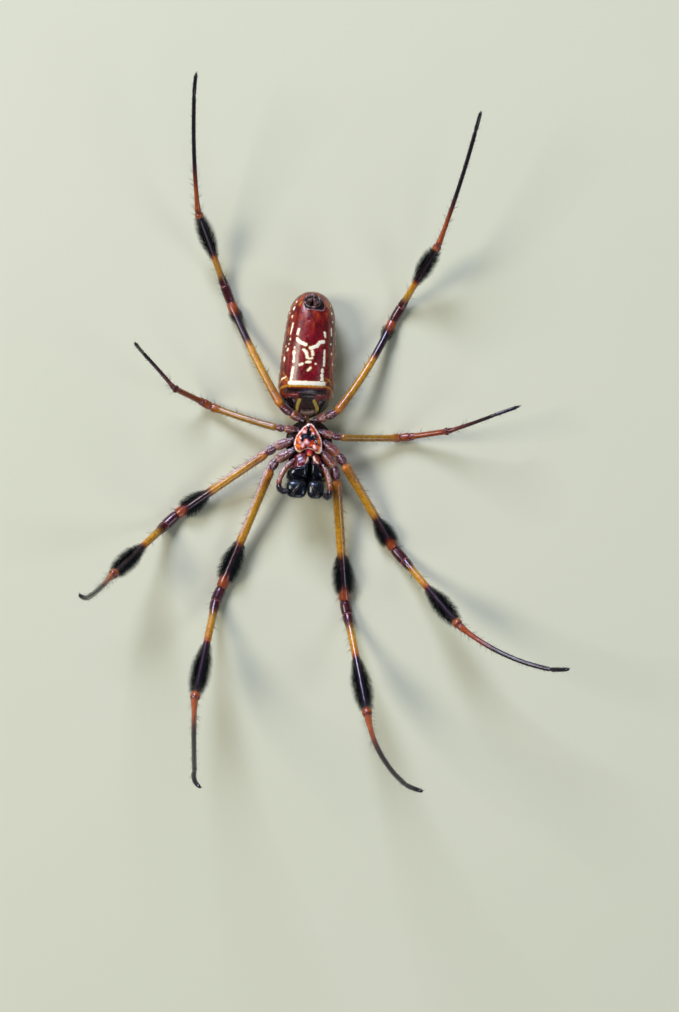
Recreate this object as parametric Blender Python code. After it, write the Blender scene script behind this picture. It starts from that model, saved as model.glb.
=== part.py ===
"""Golden silk orb weaver, an adult female at life size, lying on her back with her legs spread.

The frame is +Z up. Her underside faces +Z, her head points to -Y and her spinnerets to +Y.
The origin is on the floor under the middle of the abdomen, whose back rests at z = 0.
Sizes are in millimetres and angles in degrees. Finished meshes are scaled to metres.
"""

import math
import random
from dataclasses import dataclass

import bmesh
import bpy
from mathutils import Vector

METRES_PER_MM = 0.001
JOINT_GAP = 0.3  # between the faces of neighbouring nodes
THINNEST_RADIUS = 0.25  # of any leg segment before its tip
TIP_SHARE = 0.9  # of the tarsus, past which it tapers below that
FLOOR_Z = 0.0

LEG_SIDES = 8
FOOT_SIDES = 6  # of the slender metatarsus and tarsus
BODY_SIDES = 20
SHARP_ANGLE = 50.0
PATH_STEP = 0.1  # between the sample points along a leg
JOINT_SOFTNESS = 0.45  # half the length over which a leg's bend is rounded
SOFTNESS_SAMPLES = 9

# The body in its own line: v runs along the body, towards the spinnerets.
PROSOMA_PIVOT = (-0.15, -12.9)
PROSOMA_YAW = -3.0
ABDOMEN_YAW = -4.3  # about the origin
RIM_Z = 3.3  # the carapace's underside, which carries the sternum and the mouthparts
DECK_Z = RIM_Z + JOINT_GAP


@dataclass(frozen=True)
class Reach:
    """A leg segment: its length, and its compass heading and rise at its start and its end."""

    length: float
    heading: tuple
    rise: tuple


def reach(length, heading, rise, heading_end=None, rise_end=None):
    """A segment that is straight unless an end heading or an end rise is given."""
    end_heading = heading if heading_end is None else heading_end
    end_rise = rise if rise_end is None else rise_end
    return Reach(length, (heading, end_heading), (rise, end_rise))


SEGMENTS = ("coxa", "trochanter", "femur", "patella", "tibia", "metatarsus", "tarsus")

# Each leg's root and the lie of its seven segments, from the body outwards.
LEGS = {
    "leg_1_left": (
        Vector((-2.5, -14.7, 4.4)),
        reach(2.6, -150, -4),
        reach(1.5, -123.5, -6),
        reach(19.1, -112.7, -10.4),
        reach(2.2, -112.5, 12),
        reach(17.2, -101, 31, rise_end=39),
        reach(17.8, -89, 53, -83, 65),
        reach(3.6, -110, 64, -30, 34),
    ),
    "leg_1_right": (
        Vector((2.1, -15.0, 4.4)),
        reach(2.5, -52, -4),
        reach(1.9, -80.5, -8),
        reach(18.1, -86, -10.9),
        reach(2.0, -78.5, 12),
        reach(17.2, -78.5, 28, rise_end=36),
        reach(17.8, -81, 47, -35, 61),
        reach(3.6, -22, 60, -12, 40),
    ),
    "leg_2_left": (
        Vector((-2.6, -13.2, 4.4)),
        reach(2.5, -159.5, -4),
        reach(1.5, -145.5, -6),
        reach(16.3, -145.7, -12.5),
        reach(2.4, -137.5, 14),
        reach(14.8, -135, 43, rise_end=51),
        reach(15.4, -123, 68, -143, 84),
        reach(3.3, -173, 87, -233, 57),
    ),
    "leg_2_right": (
        Vector((2.4, -13.6, 4.4)),
        reach(2.5, -41, -4),
        reach(1.5, -57.5, -6),
        reach(14.8, -59.5, -13.5),
        reach(2.4, -48.5, 14),
        reach(14.8, -50, 32, rise_end=40),
        reach(15.4, -40, 17, -10, 27),
        reach(3.3, -1, 48, 7, 38),
    ),
    "leg_3_left": (
        Vector((-1.9, -11.6, 4.4)),
        reach(1.7, 173.5, -4),
        reach(1.15, 172.5, -6),
        reach(10.6, 165, -17, 159, -17),
        reach(1.4, 152, 12),
        reach(6.2, 154.5, 42, rise_end=48),
        reach(7.9, 129, 31, 133, 37),
        reach(3.4, 127.5, 67, rise_end=57),
    ),
    "leg_3_right": (
        Vector((1.8, -11.95, 4.4)),
        reach(1.7, -17.5, -4),
        reach(1.25, -11.5, -6),
        reach(9.2, -2, -20, 2, -20),
        reach(1.5, 6, 10),
        reach(6.2, 8, 22, rise_end=28),
        reach(7.9, 17, 28, 21, 34),
        reach(3.75, 19.5, 5, rise_end=-5),
    ),
    "leg_4_left": (
        Vector((-1.2, -10.05, 4.5)),
        reach(1.7, 150, 14),
        reach(1.75, 142.5, 16),
        reach(17.7, 120, -16.5, 112, -15.5),
        reach(2.7, 110.5, 10),
        reach(12.3, 109.5, 26, rise_end=32),
        reach(17.6, 95, 23.5, 87, 23.5),
        reach(3.3, 87, 32, 79, 24),
    ),
    "leg_4_right": (
        Vector((1.2, -10.1, 4.5)),
        reach(1.45, 16.5, 14),
        reach(1.6, 22, 16),
        reach(16.7, 51.5, -17.5, 65.5, -16.5),
        reach(2.4, 59, 12),
        reach(12.3, 58.5, 33, rise_end=39),
        reach(17.6, 69, 20, 75, 20),
        reach(3.3, 75, 42, rise_end=34),
    ),
}

# Leg radii along each segment, as (share of its length, radius), for the first pair.
GIRTH = {
    "coxa": ((0, 0.5), (0.3, 0.68), (0.62, 0.76), (0.9, 0.72), (1, 0.62)),
    "trochanter": ((0.12, 0.7), (0.55, 0.72), (1, 0.6)),
    "femur": (
        (0, 0.6), (0.03, 0.74), (0.1, 0.72), (0.4, 0.66), (0.75, 0.65), (0.9, 0.78), (0.96, 0.86), (1, 0.66),
    ),
    "patella": ((0, 0.62), (0.3, 0.79), (0.75, 0.8), (1, 0.76)),
    "tibia": (
        (0.04, 0.76), (0.13, 0.58), (0.45, 0.55), (0.84, 0.56), (0.94, 0.74), (0.975, 0.75), (1, 0.5),
    ),
    "metatarsus": (
        (0, 0.42), (0.035, 0.45), (0.12, 0.36), (0.3, 0.33), (0.5, 0.31), (0.68, 0.3), (0.85, 0.3), (1, 0.28),
    ),
    "tarsus": ((0.12, 0.31), (0.4, 0.3), (0.7, 0.28), (0.92, 0.24), (1, 0.14)),
}
PAIR_GIRTH = {"1": 1.0, "2": 0.97, "3": 0.76, "4": 0.85}

# The nodes of a leg, each a run of segments.
LEG_NODES = {
    "coxa": ("coxa", "trochanter"),
    "femur": ("femur",),
    "tibia": ("patella", "tibia"),
    "tarsus": ("metatarsus", "tarsus"),
}


@dataclass(frozen=True)
class Brush:
    """The share of a segment that a brush covers, how far it stands out, and its rows of locks."""

    start: float
    end: float
    stand: float
    rows: int


BRUSHES = {
    ("1", "femur"): Brush(0.62, 0.93, 1.2, 4),
    ("2", "femur"): Brush(0.66, 0.93, 1.0, 4),
    ("4", "femur"): Brush(0.8, 0.93, 0.6, 2),
    ("1", "tibia"): Brush(0.44, 0.93, 1.15, 6),
    ("2", "tibia"): Brush(0.42, 0.93, 1.15, 6),
    ("4", "tibia"): Brush(0.36, 0.93, 1.05, 6),
}

# A brush is a low core with locks of bristles over it. The strip of the shank that faces up
# is bare, and the locks lean towards the foot.
BRUSH_CORE_SHARE = 0.42  # of the stand
CORE_PROFILE = ((0, 0.0), (0.1, 0.75), (0.4, 1.0), (0.8, 0.9), (1, 0.0))
CORE_MARGIN = 0.15  # beyond each end of the core, clear of the shank's own rings
BARE_STRIP_RISE = 0.8  # a point whose sine above the leg's side is over this is bare
BRUSH_FLOOR = 0.12  # nothing in a brush hangs lower
LOCKS_ROUND = 6
LOCK_FIRST_ANGLE = 125.0  # round the leg from its side, so that 90 is the middle of the strip
LOCK_LAST_ANGLE = 415.0
LOCK_ANGLE_DRAW = 5.0
LOCK_PLACE_DRAW = 0.12
LOCK_SHORTEST = 0.92  # of its full stand
ROW_START = 0.35  # of a row's pitch
ROW_SPREAD = 0.9  # of the brush's length, so that the last tips end with it
END_STAND = 0.75  # of the full stand, where the brush begins and ends
LOCK_LEAN = 1.3  # how far its tip lies along the leg from its root, for each unit of stand
LOCK_ROOT_DEPTH = 0.3
LOCK_WIDTH = 0.72
LOCK_THICKNESS = 0.5
LOCK_BEND = (0.42, 0.45, 0.9)  # shares of its lean, its stand and its width at the bend
LOCK_SLANT = 0.6  # of its thickness against the leg's line
LEAST_STAND = 0.3
SMALLEST_LOCK = 0.55  # of the full width, for one with no stand

# Abdomen: v, half-width, z of the underside (which faces up) and z of the back.
ABDOMEN_STATIONS = (
    (-9.75, 1.1, 3.6, 2.0),
    (-9.3, 2.1, 4.3, 1.1),
    (-8.6, 2.95, 5.0, 0.45),
    (-7.6, 3.6, 6.0, 0.1),
    (-6.4, 3.95, 7.0, -0.1),
    (-5.0, 4.12, 7.5, -0.1),
    (-2.0, 3.98, 7.6, -0.1),
    (0.6, 3.82, 7.5, -0.1),
    (3.2, 3.62, 7.2, -0.1),
    (5.2, 3.34, 6.8, 0.15),
    (6.6, 2.85, 6.3, 0.8),
    (7.6, 2.15, 5.6, 1.6),
    (8.2, 1.35, 4.9, 2.4),
)
ABDOMEN_TAIL_V = 8.5
PEDICEL_PATH = (Vector((-0.05, -10.6, 4.05)), Vector((-0.2, -10.25, 4.1)), Vector((-0.35, -9.9, 4.1)))
PEDICEL_RADII = (0.36, 0.3, 0.36)

# Spinnerets: where they stand on the abdomen, and how far they lean to its rear.
SPINNERET_PLACE = (0, 6.9, 6.12)
SPINNERET_LEAN = 32.0
SPINNERET_BASE = (0.95, 0.8, 0.35)  # radius below, radius above and height
SPIGOT_SINK = 0.2
SPIGOT_SIDES = 8
# Pairs of spigots: half the space between, how far back, length and root radius.
SPIGOTS = (
    (0.4, -0.36, 0.8, 0.36),
    (0.42, 0.38, 0.7, 0.34),
    (0.14, 0.02, 0.55, 0.24),
)

# Carapace: v, half-width, and the height of its dome under the rim plane.
CARAPACE_STATIONS = (
    (-10.25, 1.2, 0.7),
    (-10.7, 2.05, 1.3),
    (-11.5, 2.8, 1.7),
    (-12.8, 3.35, 1.9),
    (-14.2, 3.3, 2.0),
    (-15.3, 3.0, 2.4),
    (-16.3, 2.75, 2.75),
    (-17.6, 2.65, 2.8),
    (-18.8, 2.55, 2.6),
    (-19.5, 2.3, 2.15),
    (-19.9, 1.8, 1.5),
)
CARAPACE_ARCH_POINTS = 12
CARAPACE_ARCH_POWER = 0.8  # under 1 makes the dome's flanks steeper
HORN_PLACE = (0.75, -16.2)
HORN_ROOT_Z = 1.5
HORN_ROOT_RADIUS = 0.42
HORN_TIP_RADIUS = 0.25
HORN_SIDES = 8

# Sternum: a shield whose half-width is given along v, with one hump beside each coxa.
STERNUM_TOP_Z = 5.4
STERNUM_EDGE_Z = 4.95
STERNUM_CENTRE = (0.0, -13.2)
STERNUM_STATIONS = (
    (-10.95, 0.3),
    (-11.5, 0.85),
    (-12.2, 1.35),
    (-13.0, 1.75),
    (-13.9, 1.8),
    (-14.6, 1.65),
    (-15.0, 1.2),
)
STERNUM_LEVELS = ((0.9, 0.16), (0.7, 0.04), (0.45, 0.0), (0.2, 0.0))  # share of the outline, drop
STERNUM_HUMPS = ((0.85, -14.4), (1.2, -13.6), (0.95, -12.5), (0.45, -11.7))
STERNUM_HUMP_HEIGHT = 0.4
STERNUM_HUMP_RADIUS = 0.55

# Mouth plates: v and half-width, v and middle, and z with the share of the outline there.
LABIUM_ROWS = ((-15.35, 0.5), (-15.8, 0.5), (-16.4, 0.34))
LABIUM_LEVELS = ((DECK_Z, 1.0), (5.1, 1.0), (5.4, 0.6))
MAXILLA_ROWS = ((-15.35, 0.5), (-16.1, 0.62), (-16.9, 0.8), (-17.5, 0.85), (-18.25, 0.85))
MAXILLA_MIDDLES = ((15.35, 1.35), (16.1, 1.2), (17.0, 1.02), (18.25, 1.02))
MAXILLA_LEVELS = ((DECK_Z, 0.9), (4.6, 1.0), (5.25, 1.0), (5.6, 0.6))
PLATE_SIDES = 12

# Chelicera: v of its middle, z, half-width across and half-depth along the body.
CHELICERA_MIDDLE = -0.2
CHELICERA_OFFSET = 1.4
CHELICERA_SIDES = 16
CHELICERA_SQUARENESS = 0.75  # under 1 makes the section boxier than an oval
CHELICERA_ROWS = (
    (-19.6, DECK_Z, 1.0, 0.95),
    (-19.65, 4.1, 1.2, 1.05),
    (-19.85, 5.2, 1.25, 1.25),
    (-20.15, 6.1, 1.22, 1.3),
    (-20.3, 6.7, 0.95, 1.0),
    (-20.35, 6.95, 0.45, 0.45),
)
# Fang, folded over the jaw's end: distance from the middle plane, v, z and radius.
FANG_ROWS = (
    (1.75, -20.9, 7.4, 0.27),
    (1.45, -20.35, 7.6, 0.26),
    (0.95, -19.75, 7.5, 0.22),
    (0.5, -19.35, 7.2, 0.1),
)
FANG_SIDES = 6

# Pedipalps: their joints from the maxilla outwards, and the radius at each.
PALPS = {
    "left": (
        (Vector((-2.5, -16.3, 4.75)), 0.36),
        (Vector((-3.1, -16.8, 4.95)), 0.4),
        (Vector((-3.75, -17.7, 5.3)), 0.42),
        (Vector((-4.25, -18.9, 5.7)), 0.38),
        (Vector((-4.35, -19.7, 6.0)), 0.38),
        (Vector((-4.1, -20.25, 6.35)), 0.42),
        (Vector((-3.5, -20.5, 6.9)), 0.44),
        (Vector((-2.9, -20.3, 7.35)), 0.2),
    ),
    "right": (
        (Vector((2.15, -17.05, 5.3)), 0.28),
        (Vector((2.5, -17.75, 5.45)), 0.38),
        (Vector((2.8, -18.6, 5.6)), 0.4),
        (Vector((2.95, -19.4, 5.8)), 0.38),
        (Vector((3.05, -20.3, 6.0)), 0.38),
        (Vector((2.95, -21.1, 6.3)), 0.42),
        (Vector((2.6, -21.3, 6.9)), 0.44),
        (Vector((2.1, -20.9, 7.5)), 0.2),
    ),
}

EYE_RADIUS = 0.3
EYE_GAP = 0.2
EYE_SIDES = 8
# Each eye is a dome of rings, by height and share of its radius, over a small mound.
EYE_DOME = ((0.0, 0.85), (0.1, 1.0), (0.26, 0.85), (0.36, 0.45))
MOUND_ROOT_RADIUS = 0.48
MOUND_RADIUS = 0.38
MOUND_DEPTH = 0.5
MOUND_HEIGHT = 0.12
MOUND_SIDES = 7
HEAD_CENTRE = Vector((0, -17.2, 2.6))
# Eyes by their place on the carapace: v, and degrees up its arch from the rim.
EYES = {
    "eye_front_median": (-19.55, 76.0),
    "eye_rear_median": (-18.6, 77.0),
    "eye_front_lateral": (-19.45, 38.0),
    "eye_rear_lateral": (-18.65, 30.0),
}


def clear_scene():
    """Removes every object that the file opened with."""
    for thing in list(bpy.data.objects):
        bpy.data.objects.remove(thing, do_unlink=True)


def make_material(name, colour, roughness, metallic=0.0):
    """A plain Principled material."""
    material = bpy.data.materials.new(name)
    material.use_nodes = True
    shader = material.node_tree.nodes["Principled BSDF"]
    shader.inputs["Base Color"].default_value = (*colour, 1.0)
    shader.inputs["Roughness"].default_value = roughness
    shader.inputs["Metallic"].default_value = metallic
    material.diffuse_color = (*colour, 1.0)
    return material


def turned(point, pivot, yaw):
    """A point turned about a vertical axis through the pivot."""
    angle = math.radians(yaw)
    x = point.x - pivot[0]
    y = point.y - pivot[1]
    return Vector(
        (
            pivot[0] + x * math.cos(angle) - y * math.sin(angle),
            pivot[1] + x * math.sin(angle) + y * math.cos(angle),
            point.z,
        )
    )


def on_prosoma(u, v, z):
    """A point of the front body, whose own line is u across and v along."""
    return turned(Vector((u, v, z)), PROSOMA_PIVOT, PROSOMA_YAW)


def on_abdomen(u, v, z):
    """A point of the abdomen, whose own line passes over the origin."""
    return turned(Vector((u, v, z)), (0.0, 0.0), ABDOMEN_YAW)


def direction(heading, rise):
    """The unit vector with a compass heading from +X and a rise above the floor."""
    flat = math.cos(math.radians(rise))
    return Vector(
        (
            flat * math.cos(math.radians(heading)),
            flat * math.sin(math.radians(heading)),
            math.sin(math.radians(rise)),
        )
    )


def read_profile(stations, place):
    """Reads a value at a place from rows that start with that place, in rising order."""
    if place <= stations[0][0]:
        return stations[0][1]
    for low, high in zip(stations, stations[1:]):
        if place <= high[0]:
            share = (place - low[0]) / (high[0] - low[0])
            return low[1] + (high[1] - low[1]) * share
    return stations[-1][1]


def circle(centre, side, other, radius, count, turn=0.0):
    """Points round a centre, from one vector towards another, turned by a share of a step."""
    points = []
    for k in range(count):
        angle = 2 * math.pi * (k + turn) / count
        points.append(centre + (side * math.cos(angle) + other * math.sin(angle)) * radius)
    return points


def loft_mesh(rings, end_tip=None):
    """A closed mesh through rings of points, closed by a fan at each end, the last to a tip."""
    mesh = bmesh.new()
    rows = [[mesh.verts.new(point) for point in ring] for ring in rings]
    count = len(rings[0])
    for lower, upper in zip(rows, rows[1:]):
        for k in range(count):
            after = (k + 1) % count
            mesh.faces.new((lower[k], lower[after], upper[after], upper[k]))
    for row, tip, flip in ((rows[0], None, True), (rows[-1], end_tip, False)):
        middle = sum((v.co for v in row), Vector()) / count
        centre = mesh.verts.new(middle if tip is None else tip)
        for k in range(count):
            after = (k + 1) % count
            corners = (row[k], row[after], centre)
            mesh.faces.new(corners[::-1] if flip else corners)
    bmesh.ops.recalc_face_normals(mesh, faces=mesh.faces)
    return mesh


def add_object(name, mesh, material):
    """Puts a bmesh that is in millimetres into the scene as a named object in metres."""
    bmesh.ops.scale(mesh, vec=(METRES_PER_MM,) * 3, verts=mesh.verts)
    data = bpy.data.meshes.new(name)
    mesh.to_mesh(data)
    mesh.free()
    data.materials.append(material)
    data.shade_smooth()
    data.set_sharp_from_angle(angle=math.radians(SHARP_ANGLE))
    thing = bpy.data.objects.new(name, data)
    bpy.context.scene.collection.objects.link(thing)
    return thing


def largest_surface(mesh):
    """Keeps only the largest closed surface of a bmesh."""
    islands = []
    left = set(mesh.verts)
    while left:
        found = {left.pop()}
        edge = set(found)
        while edge:
            edge = {e.other_vert(v) for v in edge for e in v.link_edges} - found
            found |= edge
        left -= found
        islands.append(found)
    islands.sort(key=len)
    for island in islands[:-1]:
        bmesh.ops.delete(mesh, geom=list(island), context="VERTS")
    return mesh


def fused(base, pieces):
    """One closed bmesh from a closed base and the closed pieces that grow from it."""
    group = bpy.data.collections.new("pieces")
    bpy.context.scene.collection.children.link(group)
    for number, piece in enumerate(pieces):
        data = bpy.data.meshes.new("piece")
        piece.to_mesh(data)
        piece.free()
        group.objects.link(bpy.data.objects.new(f"piece_{number}", data))
    data = bpy.data.meshes.new("base")
    base.to_mesh(data)
    base.free()
    body = bpy.data.objects.new("base", data)
    bpy.context.scene.collection.objects.link(body)
    union = body.modifiers.new("union", "BOOLEAN")
    union.operation = "UNION"
    union.operand_type = "COLLECTION"
    union.collection = group
    union.solver = "MANIFOLD"
    depsgraph = bpy.context.evaluated_depsgraph_get()
    result = bmesh.new()
    result.from_mesh(body.evaluated_get(depsgraph).to_mesh())
    for thing in [body, *group.objects]:
        bpy.data.objects.remove(thing, do_unlink=True)
    bpy.data.collections.remove(group)
    return largest_surface(result)


class LegLine:
    """The centre line of one leg, with its bends rounded, and a frame at any distance along it."""

    def __init__(self, root, segments):
        """Walks the segments from the root and notes where each one starts."""
        self.points = [root.copy()]
        self.starts = []
        for segment in segments:
            self.starts.append((len(self.points) - 1) * PATH_STEP)
            steps = max(1, round(segment.length / PATH_STEP))
            for step in range(steps):
                share = (step + 0.5) / steps
                heading = segment.heading[0] + (segment.heading[1] - segment.heading[0]) * share
                rise = segment.rise[0] + (segment.rise[1] - segment.rise[0]) * share
                self.points.append(self.points[-1] + direction(heading, rise) * PATH_STEP)
        self.length = (len(self.points) - 1) * PATH_STEP
        self.starts.append(self.length)
        self.sides = self._carry_sides()

    def raw(self, distance):
        """The unrounded line, which runs straight on past both ends."""
        place = distance / PATH_STEP
        low = min(max(int(math.floor(place)), 0), len(self.points) - 2)
        share = place - low
        return self.points[low].lerp(self.points[low + 1], share)

    def centre(self, distance):
        """The rounded line: a mean over the softness of a joint."""
        total = Vector()
        for k in range(SOFTNESS_SAMPLES):
            total += self.raw(distance + JOINT_SOFTNESS * (2 * k / (SOFTNESS_SAMPLES - 1) - 1))
        return total / SOFTNESS_SAMPLES

    def tangent(self, distance):
        """The direction of the rounded line."""
        return (self.raw(distance + JOINT_SOFTNESS) - self.raw(distance - JOINT_SOFTNESS)).normalized()

    def _carry_sides(self):
        """A sideways vector at each sample, level at the root and carried on without twist."""
        tangent = self.tangent(0)
        side = tangent.cross(Vector((0, 0, 1))).normalized()
        sides = []
        for k in range(len(self.points)):
            tangent = self.tangent(k * PATH_STEP)
            side = (side - tangent * side.dot(tangent)).normalized()
            sides.append(side.copy())
        return sides

    def frame(self, distance):
        """Centre, sideways vector and upward vector at a distance."""
        index = min(max(round(distance / PATH_STEP), 0), len(self.sides) - 1)
        tangent = self.tangent(distance)
        side = self.sides[index]
        side = (side - tangent * side.dot(tangent)).normalized()
        return self.centre(distance), side, side.cross(tangent)

    def ring(self, distance, radius, sides=LEG_SIDES, core=0.0):
        """A ring of points round the line, pressed flat where it meets the floor.

        A brush's core stands out all round but for the bare strip on top.
        """
        centre, side, up = self.frame(distance)
        floor = BRUSH_FLOOR if core else FLOOR_Z
        points = []
        for k in range(sides):
            angle = 2 * math.pi * (k + 0.5) / sides
            out = radius if math.sin(angle) > BARE_STRIP_RISE else radius + core
            point = centre + (side * math.cos(angle) + up * math.sin(angle)) * out
            point.z = max(point.z, floor)
            points.append(point)
        return points

    def around(self, distance, angle, out):
        """The point that far out from the line, at an angle in degrees from its side."""
        centre, side, up = self.frame(distance)
        turn = math.radians(angle)
        return centre + (side * math.cos(turn) + up * math.sin(turn)) * out


def leg_stations(line, pair, parts):
    """Distances and radii of the rings of one leg node, held clear of its neighbours."""
    first = SEGMENTS.index(parts[0])
    last = SEGMENTS.index(parts[-1])
    begin = line.starts[first] + (JOINT_GAP / 2 if first else 0.0)
    end = line.starts[last + 1] - (JOINT_GAP / 2 if last + 1 < len(SEGMENTS) else 0.0)
    stations = []
    for part in parts:
        index = SEGMENTS.index(part)
        span = line.starts[index + 1] - line.starts[index]
        for share, radius in GIRTH[part]:
            distance = min(max(line.starts[index] + span * share, begin), end)
            radius *= PAIR_GIRTH[pair]
            is_tip = part == "tarsus" and share > TIP_SHARE
            if not is_tip:
                radius = max(radius, THINNEST_RADIUS)
            if not stations or distance - stations[-1][0] > PATH_STEP:
                stations.append((distance, radius))
    stations[-1] = (end, stations[-1][1])
    return stations


def brush_span(line, segment, brush):
    """The distances along the leg at which a brush begins and ends."""
    index = SEGMENTS.index(segment)
    length = line.starts[index + 1] - line.starts[index]
    return line.starts[index] + length * brush.start, line.starts[index] + length * brush.end


def core_stations(stations, begin, end, brush):
    """Stations as (distance, radius, core), with rings of their own where the brush's core is."""
    clear_begin = begin - CORE_MARGIN
    clear_end = end + CORE_MARGIN
    kept = [(*row, 0.0) for row in stations if not clear_begin < row[0] < clear_end]
    for share, height in CORE_PROFILE:
        distance = begin + (end - begin) * share
        shank = read_profile(stations, distance)
        kept.append((distance, shank, brush.stand * BRUSH_CORE_SHARE * height))
    return sorted(kept)


def lock_mesh(line, distance, angle, shank, stand, scale):
    """A flat lock of bristles that rises from the shank, leans along the leg and ends in a point."""
    lean = LOCK_LEAN * stand
    bend_lean, bend_stand, bend_width = LOCK_BEND
    rows = (
        (distance, shank - LOCK_ROOT_DEPTH, 1.0),
        (distance + lean * bend_lean, shank + stand * bend_stand, bend_width),
    )
    rings = []
    for place, out, share in rows:
        middle = line.around(place, angle, out)
        outward = (line.around(place, angle, out + 1.0) - middle).normalized()
        tangent = line.tangent(place)
        across = outward.cross(tangent).normalized() * LOCK_WIDTH * scale * share / 2
        through = (outward - tangent * LOCK_SLANT).normalized() * LOCK_THICKNESS * scale * share / 2
        rings.append([middle + across, middle + through, middle - across, middle - through])
    tip = line.around(distance + lean, angle, shank + stand)
    return loft_mesh(rings, end_tip=tip)


def brush_locks(name, line, stations, begin, end, brush):
    """The locks of one brush, in staggered rows, kept off the floor."""
    draw = random.Random(name)
    step = (LOCK_LAST_ANGLE - LOCK_FIRST_ANGLE) / (LOCKS_ROUND - 1)
    locks = []
    for row in range(brush.rows):
        share = (row + ROW_START) / brush.rows
        fullness = END_STAND + (1 - END_STAND) * read_profile(CORE_PROFILE, share)
        offset = row % 2
        for k in range(LOCKS_ROUND - offset):
            angle = LOCK_FIRST_ANGLE + step * (k + offset / 2)
            angle += draw.uniform(-LOCK_ANGLE_DRAW, LOCK_ANGLE_DRAW)
            distance = begin + (end - begin) * share * ROW_SPREAD
            distance += draw.uniform(-LOCK_PLACE_DRAW, LOCK_PLACE_DRAW)
            stand = brush.stand * fullness * draw.uniform(LOCK_SHORTEST, 1.0)
            shank = read_profile(stations, distance)
            drop = -math.sin(math.radians(angle))
            if drop > 0:
                tip_centre = line.centre(distance + LOCK_LEAN * stand)
                room = tip_centre.z - BRUSH_FLOOR - LOCK_THICKNESS / 2
                stand = min(stand, room / drop - shank)
            if stand > LEAST_STAND:
                scale = min(1.0, SMALLEST_LOCK + stand / 2)
                locks.append(lock_mesh(line, distance, angle, shank, stand, scale))
    return locks


def build_leg(name, root, segments, materials):
    """The four nodes of one leg."""
    pair = name.split("_")[1]
    line = LegLine(root, segments)
    for node, parts in LEG_NODES.items():
        stations = leg_stations(line, pair, parts)
        sides = FOOT_SIDES if node == "tarsus" else LEG_SIDES
        brush = BRUSHES.get((pair, parts[-1]))
        if brush:
            begin, end = brush_span(line, parts[-1], brush)
            locks = brush_locks(f"{name}_{node}", line, stations, begin, end, brush)
            cored = core_stations(stations, begin, end, brush)
            shank = loft_mesh([line.ring(row[0], row[1], sides, row[2]) for row in cored])
            mesh = fused(shank, locks)
        else:
            mesh = loft_mesh([line.ring(distance, radius, sides) for distance, radius in stations])
        add_object(f"{name}_{node}", mesh, materials[node])


def build_abdomen(materials):
    """The abdomen, round in section, with a flat strip along its back where it rests."""
    rings = []
    for v, half_width, belly_z, back_z in ABDOMEN_STATIONS:
        middle = Vector((0, v, (belly_z + back_z) / 2))
        across = Vector((half_width, 0, 0))
        upward = Vector((0, 0, (belly_z - back_z) / 2))
        ring = circle(middle, across, upward, 1.0, BODY_SIDES, turn=0.5)
        rings.append([on_abdomen(u, along, max(z, FLOOR_Z)) for u, along, z in ring])
    tail = on_abdomen(0, ABDOMEN_TAIL_V, (ABDOMEN_STATIONS[-1][2] + ABDOMEN_STATIONS[-1][3]) / 2)
    add_object("abdomen", loft_mesh(rings, end_tip=tail), materials["abdomen"])


def carapace_point(v, degrees):
    """A point on the carapace's dome, in the front body's own line."""
    half_width = read_profile([(-row[0], row[1]) for row in CARAPACE_STATIONS], -v)
    height = read_profile([(-row[0], row[2]) for row in CARAPACE_STATIONS], -v)
    angle = math.radians(degrees)
    u = half_width * math.cos(angle)
    return Vector((u, v, RIM_Z - height * math.sin(angle) ** CARAPACE_ARCH_POWER))


def eye_seats():
    """The name, seat and outward direction of each eye, in the front body's own line."""
    for row, (v, degrees) in EYES.items():
        for label, arch in (("left", 180 - degrees), ("right", degrees)):
            seat = carapace_point(v, arch)
            yield f"{row}_{label}", seat, (seat - HEAD_CENTRE).normalized()


def cone_mesh(start, end, start_radius, end_radius, sides):
    """A closed cone or rod between two points."""
    axis = (end - start).normalized()
    side = axis.orthogonal().normalized()
    other = axis.cross(side)
    ends = ((start, start_radius), (end, end_radius))
    return loft_mesh([circle(centre, side, other, radius, sides) for centre, radius in ends])


def build_carapace(materials):
    """The domed shield of the front body, with the two small horns that it rests on."""
    last = CARAPACE_ARCH_POINTS - 1
    rings = []
    for v, _, _ in CARAPACE_STATIONS:
        arch = [carapace_point(v, 180.0 * k / last) for k in range(CARAPACE_ARCH_POINTS)]
        rings.append([on_prosoma(*point) for point in arch])
    raised = []
    for side in (-1, 1):
        u = side * HORN_PLACE[0]
        root = on_prosoma(u, HORN_PLACE[1], HORN_ROOT_Z)
        tip = on_prosoma(u, HORN_PLACE[1], FLOOR_Z)
        raised.append(cone_mesh(root, tip, HORN_ROOT_RADIUS, HORN_TIP_RADIUS, HORN_SIDES))
    for _, seat, outward in eye_seats():
        foot = on_prosoma(*(seat - outward * MOUND_DEPTH))
        top = on_prosoma(*(seat + outward * MOUND_HEIGHT))
        raised.append(cone_mesh(foot, top, MOUND_ROOT_RADIUS, MOUND_RADIUS, MOUND_SIDES))
    add_object("carapace", fused(loft_mesh(rings), raised), materials["carapace"])


def sternum_top(u, v):
    """The height of the sternum's face, humps included."""
    height = STERNUM_TOP_Z
    for hump_u, hump_v in STERNUM_HUMPS:
        for side in (-1, 1):
            away = math.hypot(u - side * hump_u, v - hump_v) / STERNUM_HUMP_RADIUS
            if away < 1:
                height += STERNUM_HUMP_HEIGHT * (1 - away * away) ** 2
    return height


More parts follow.
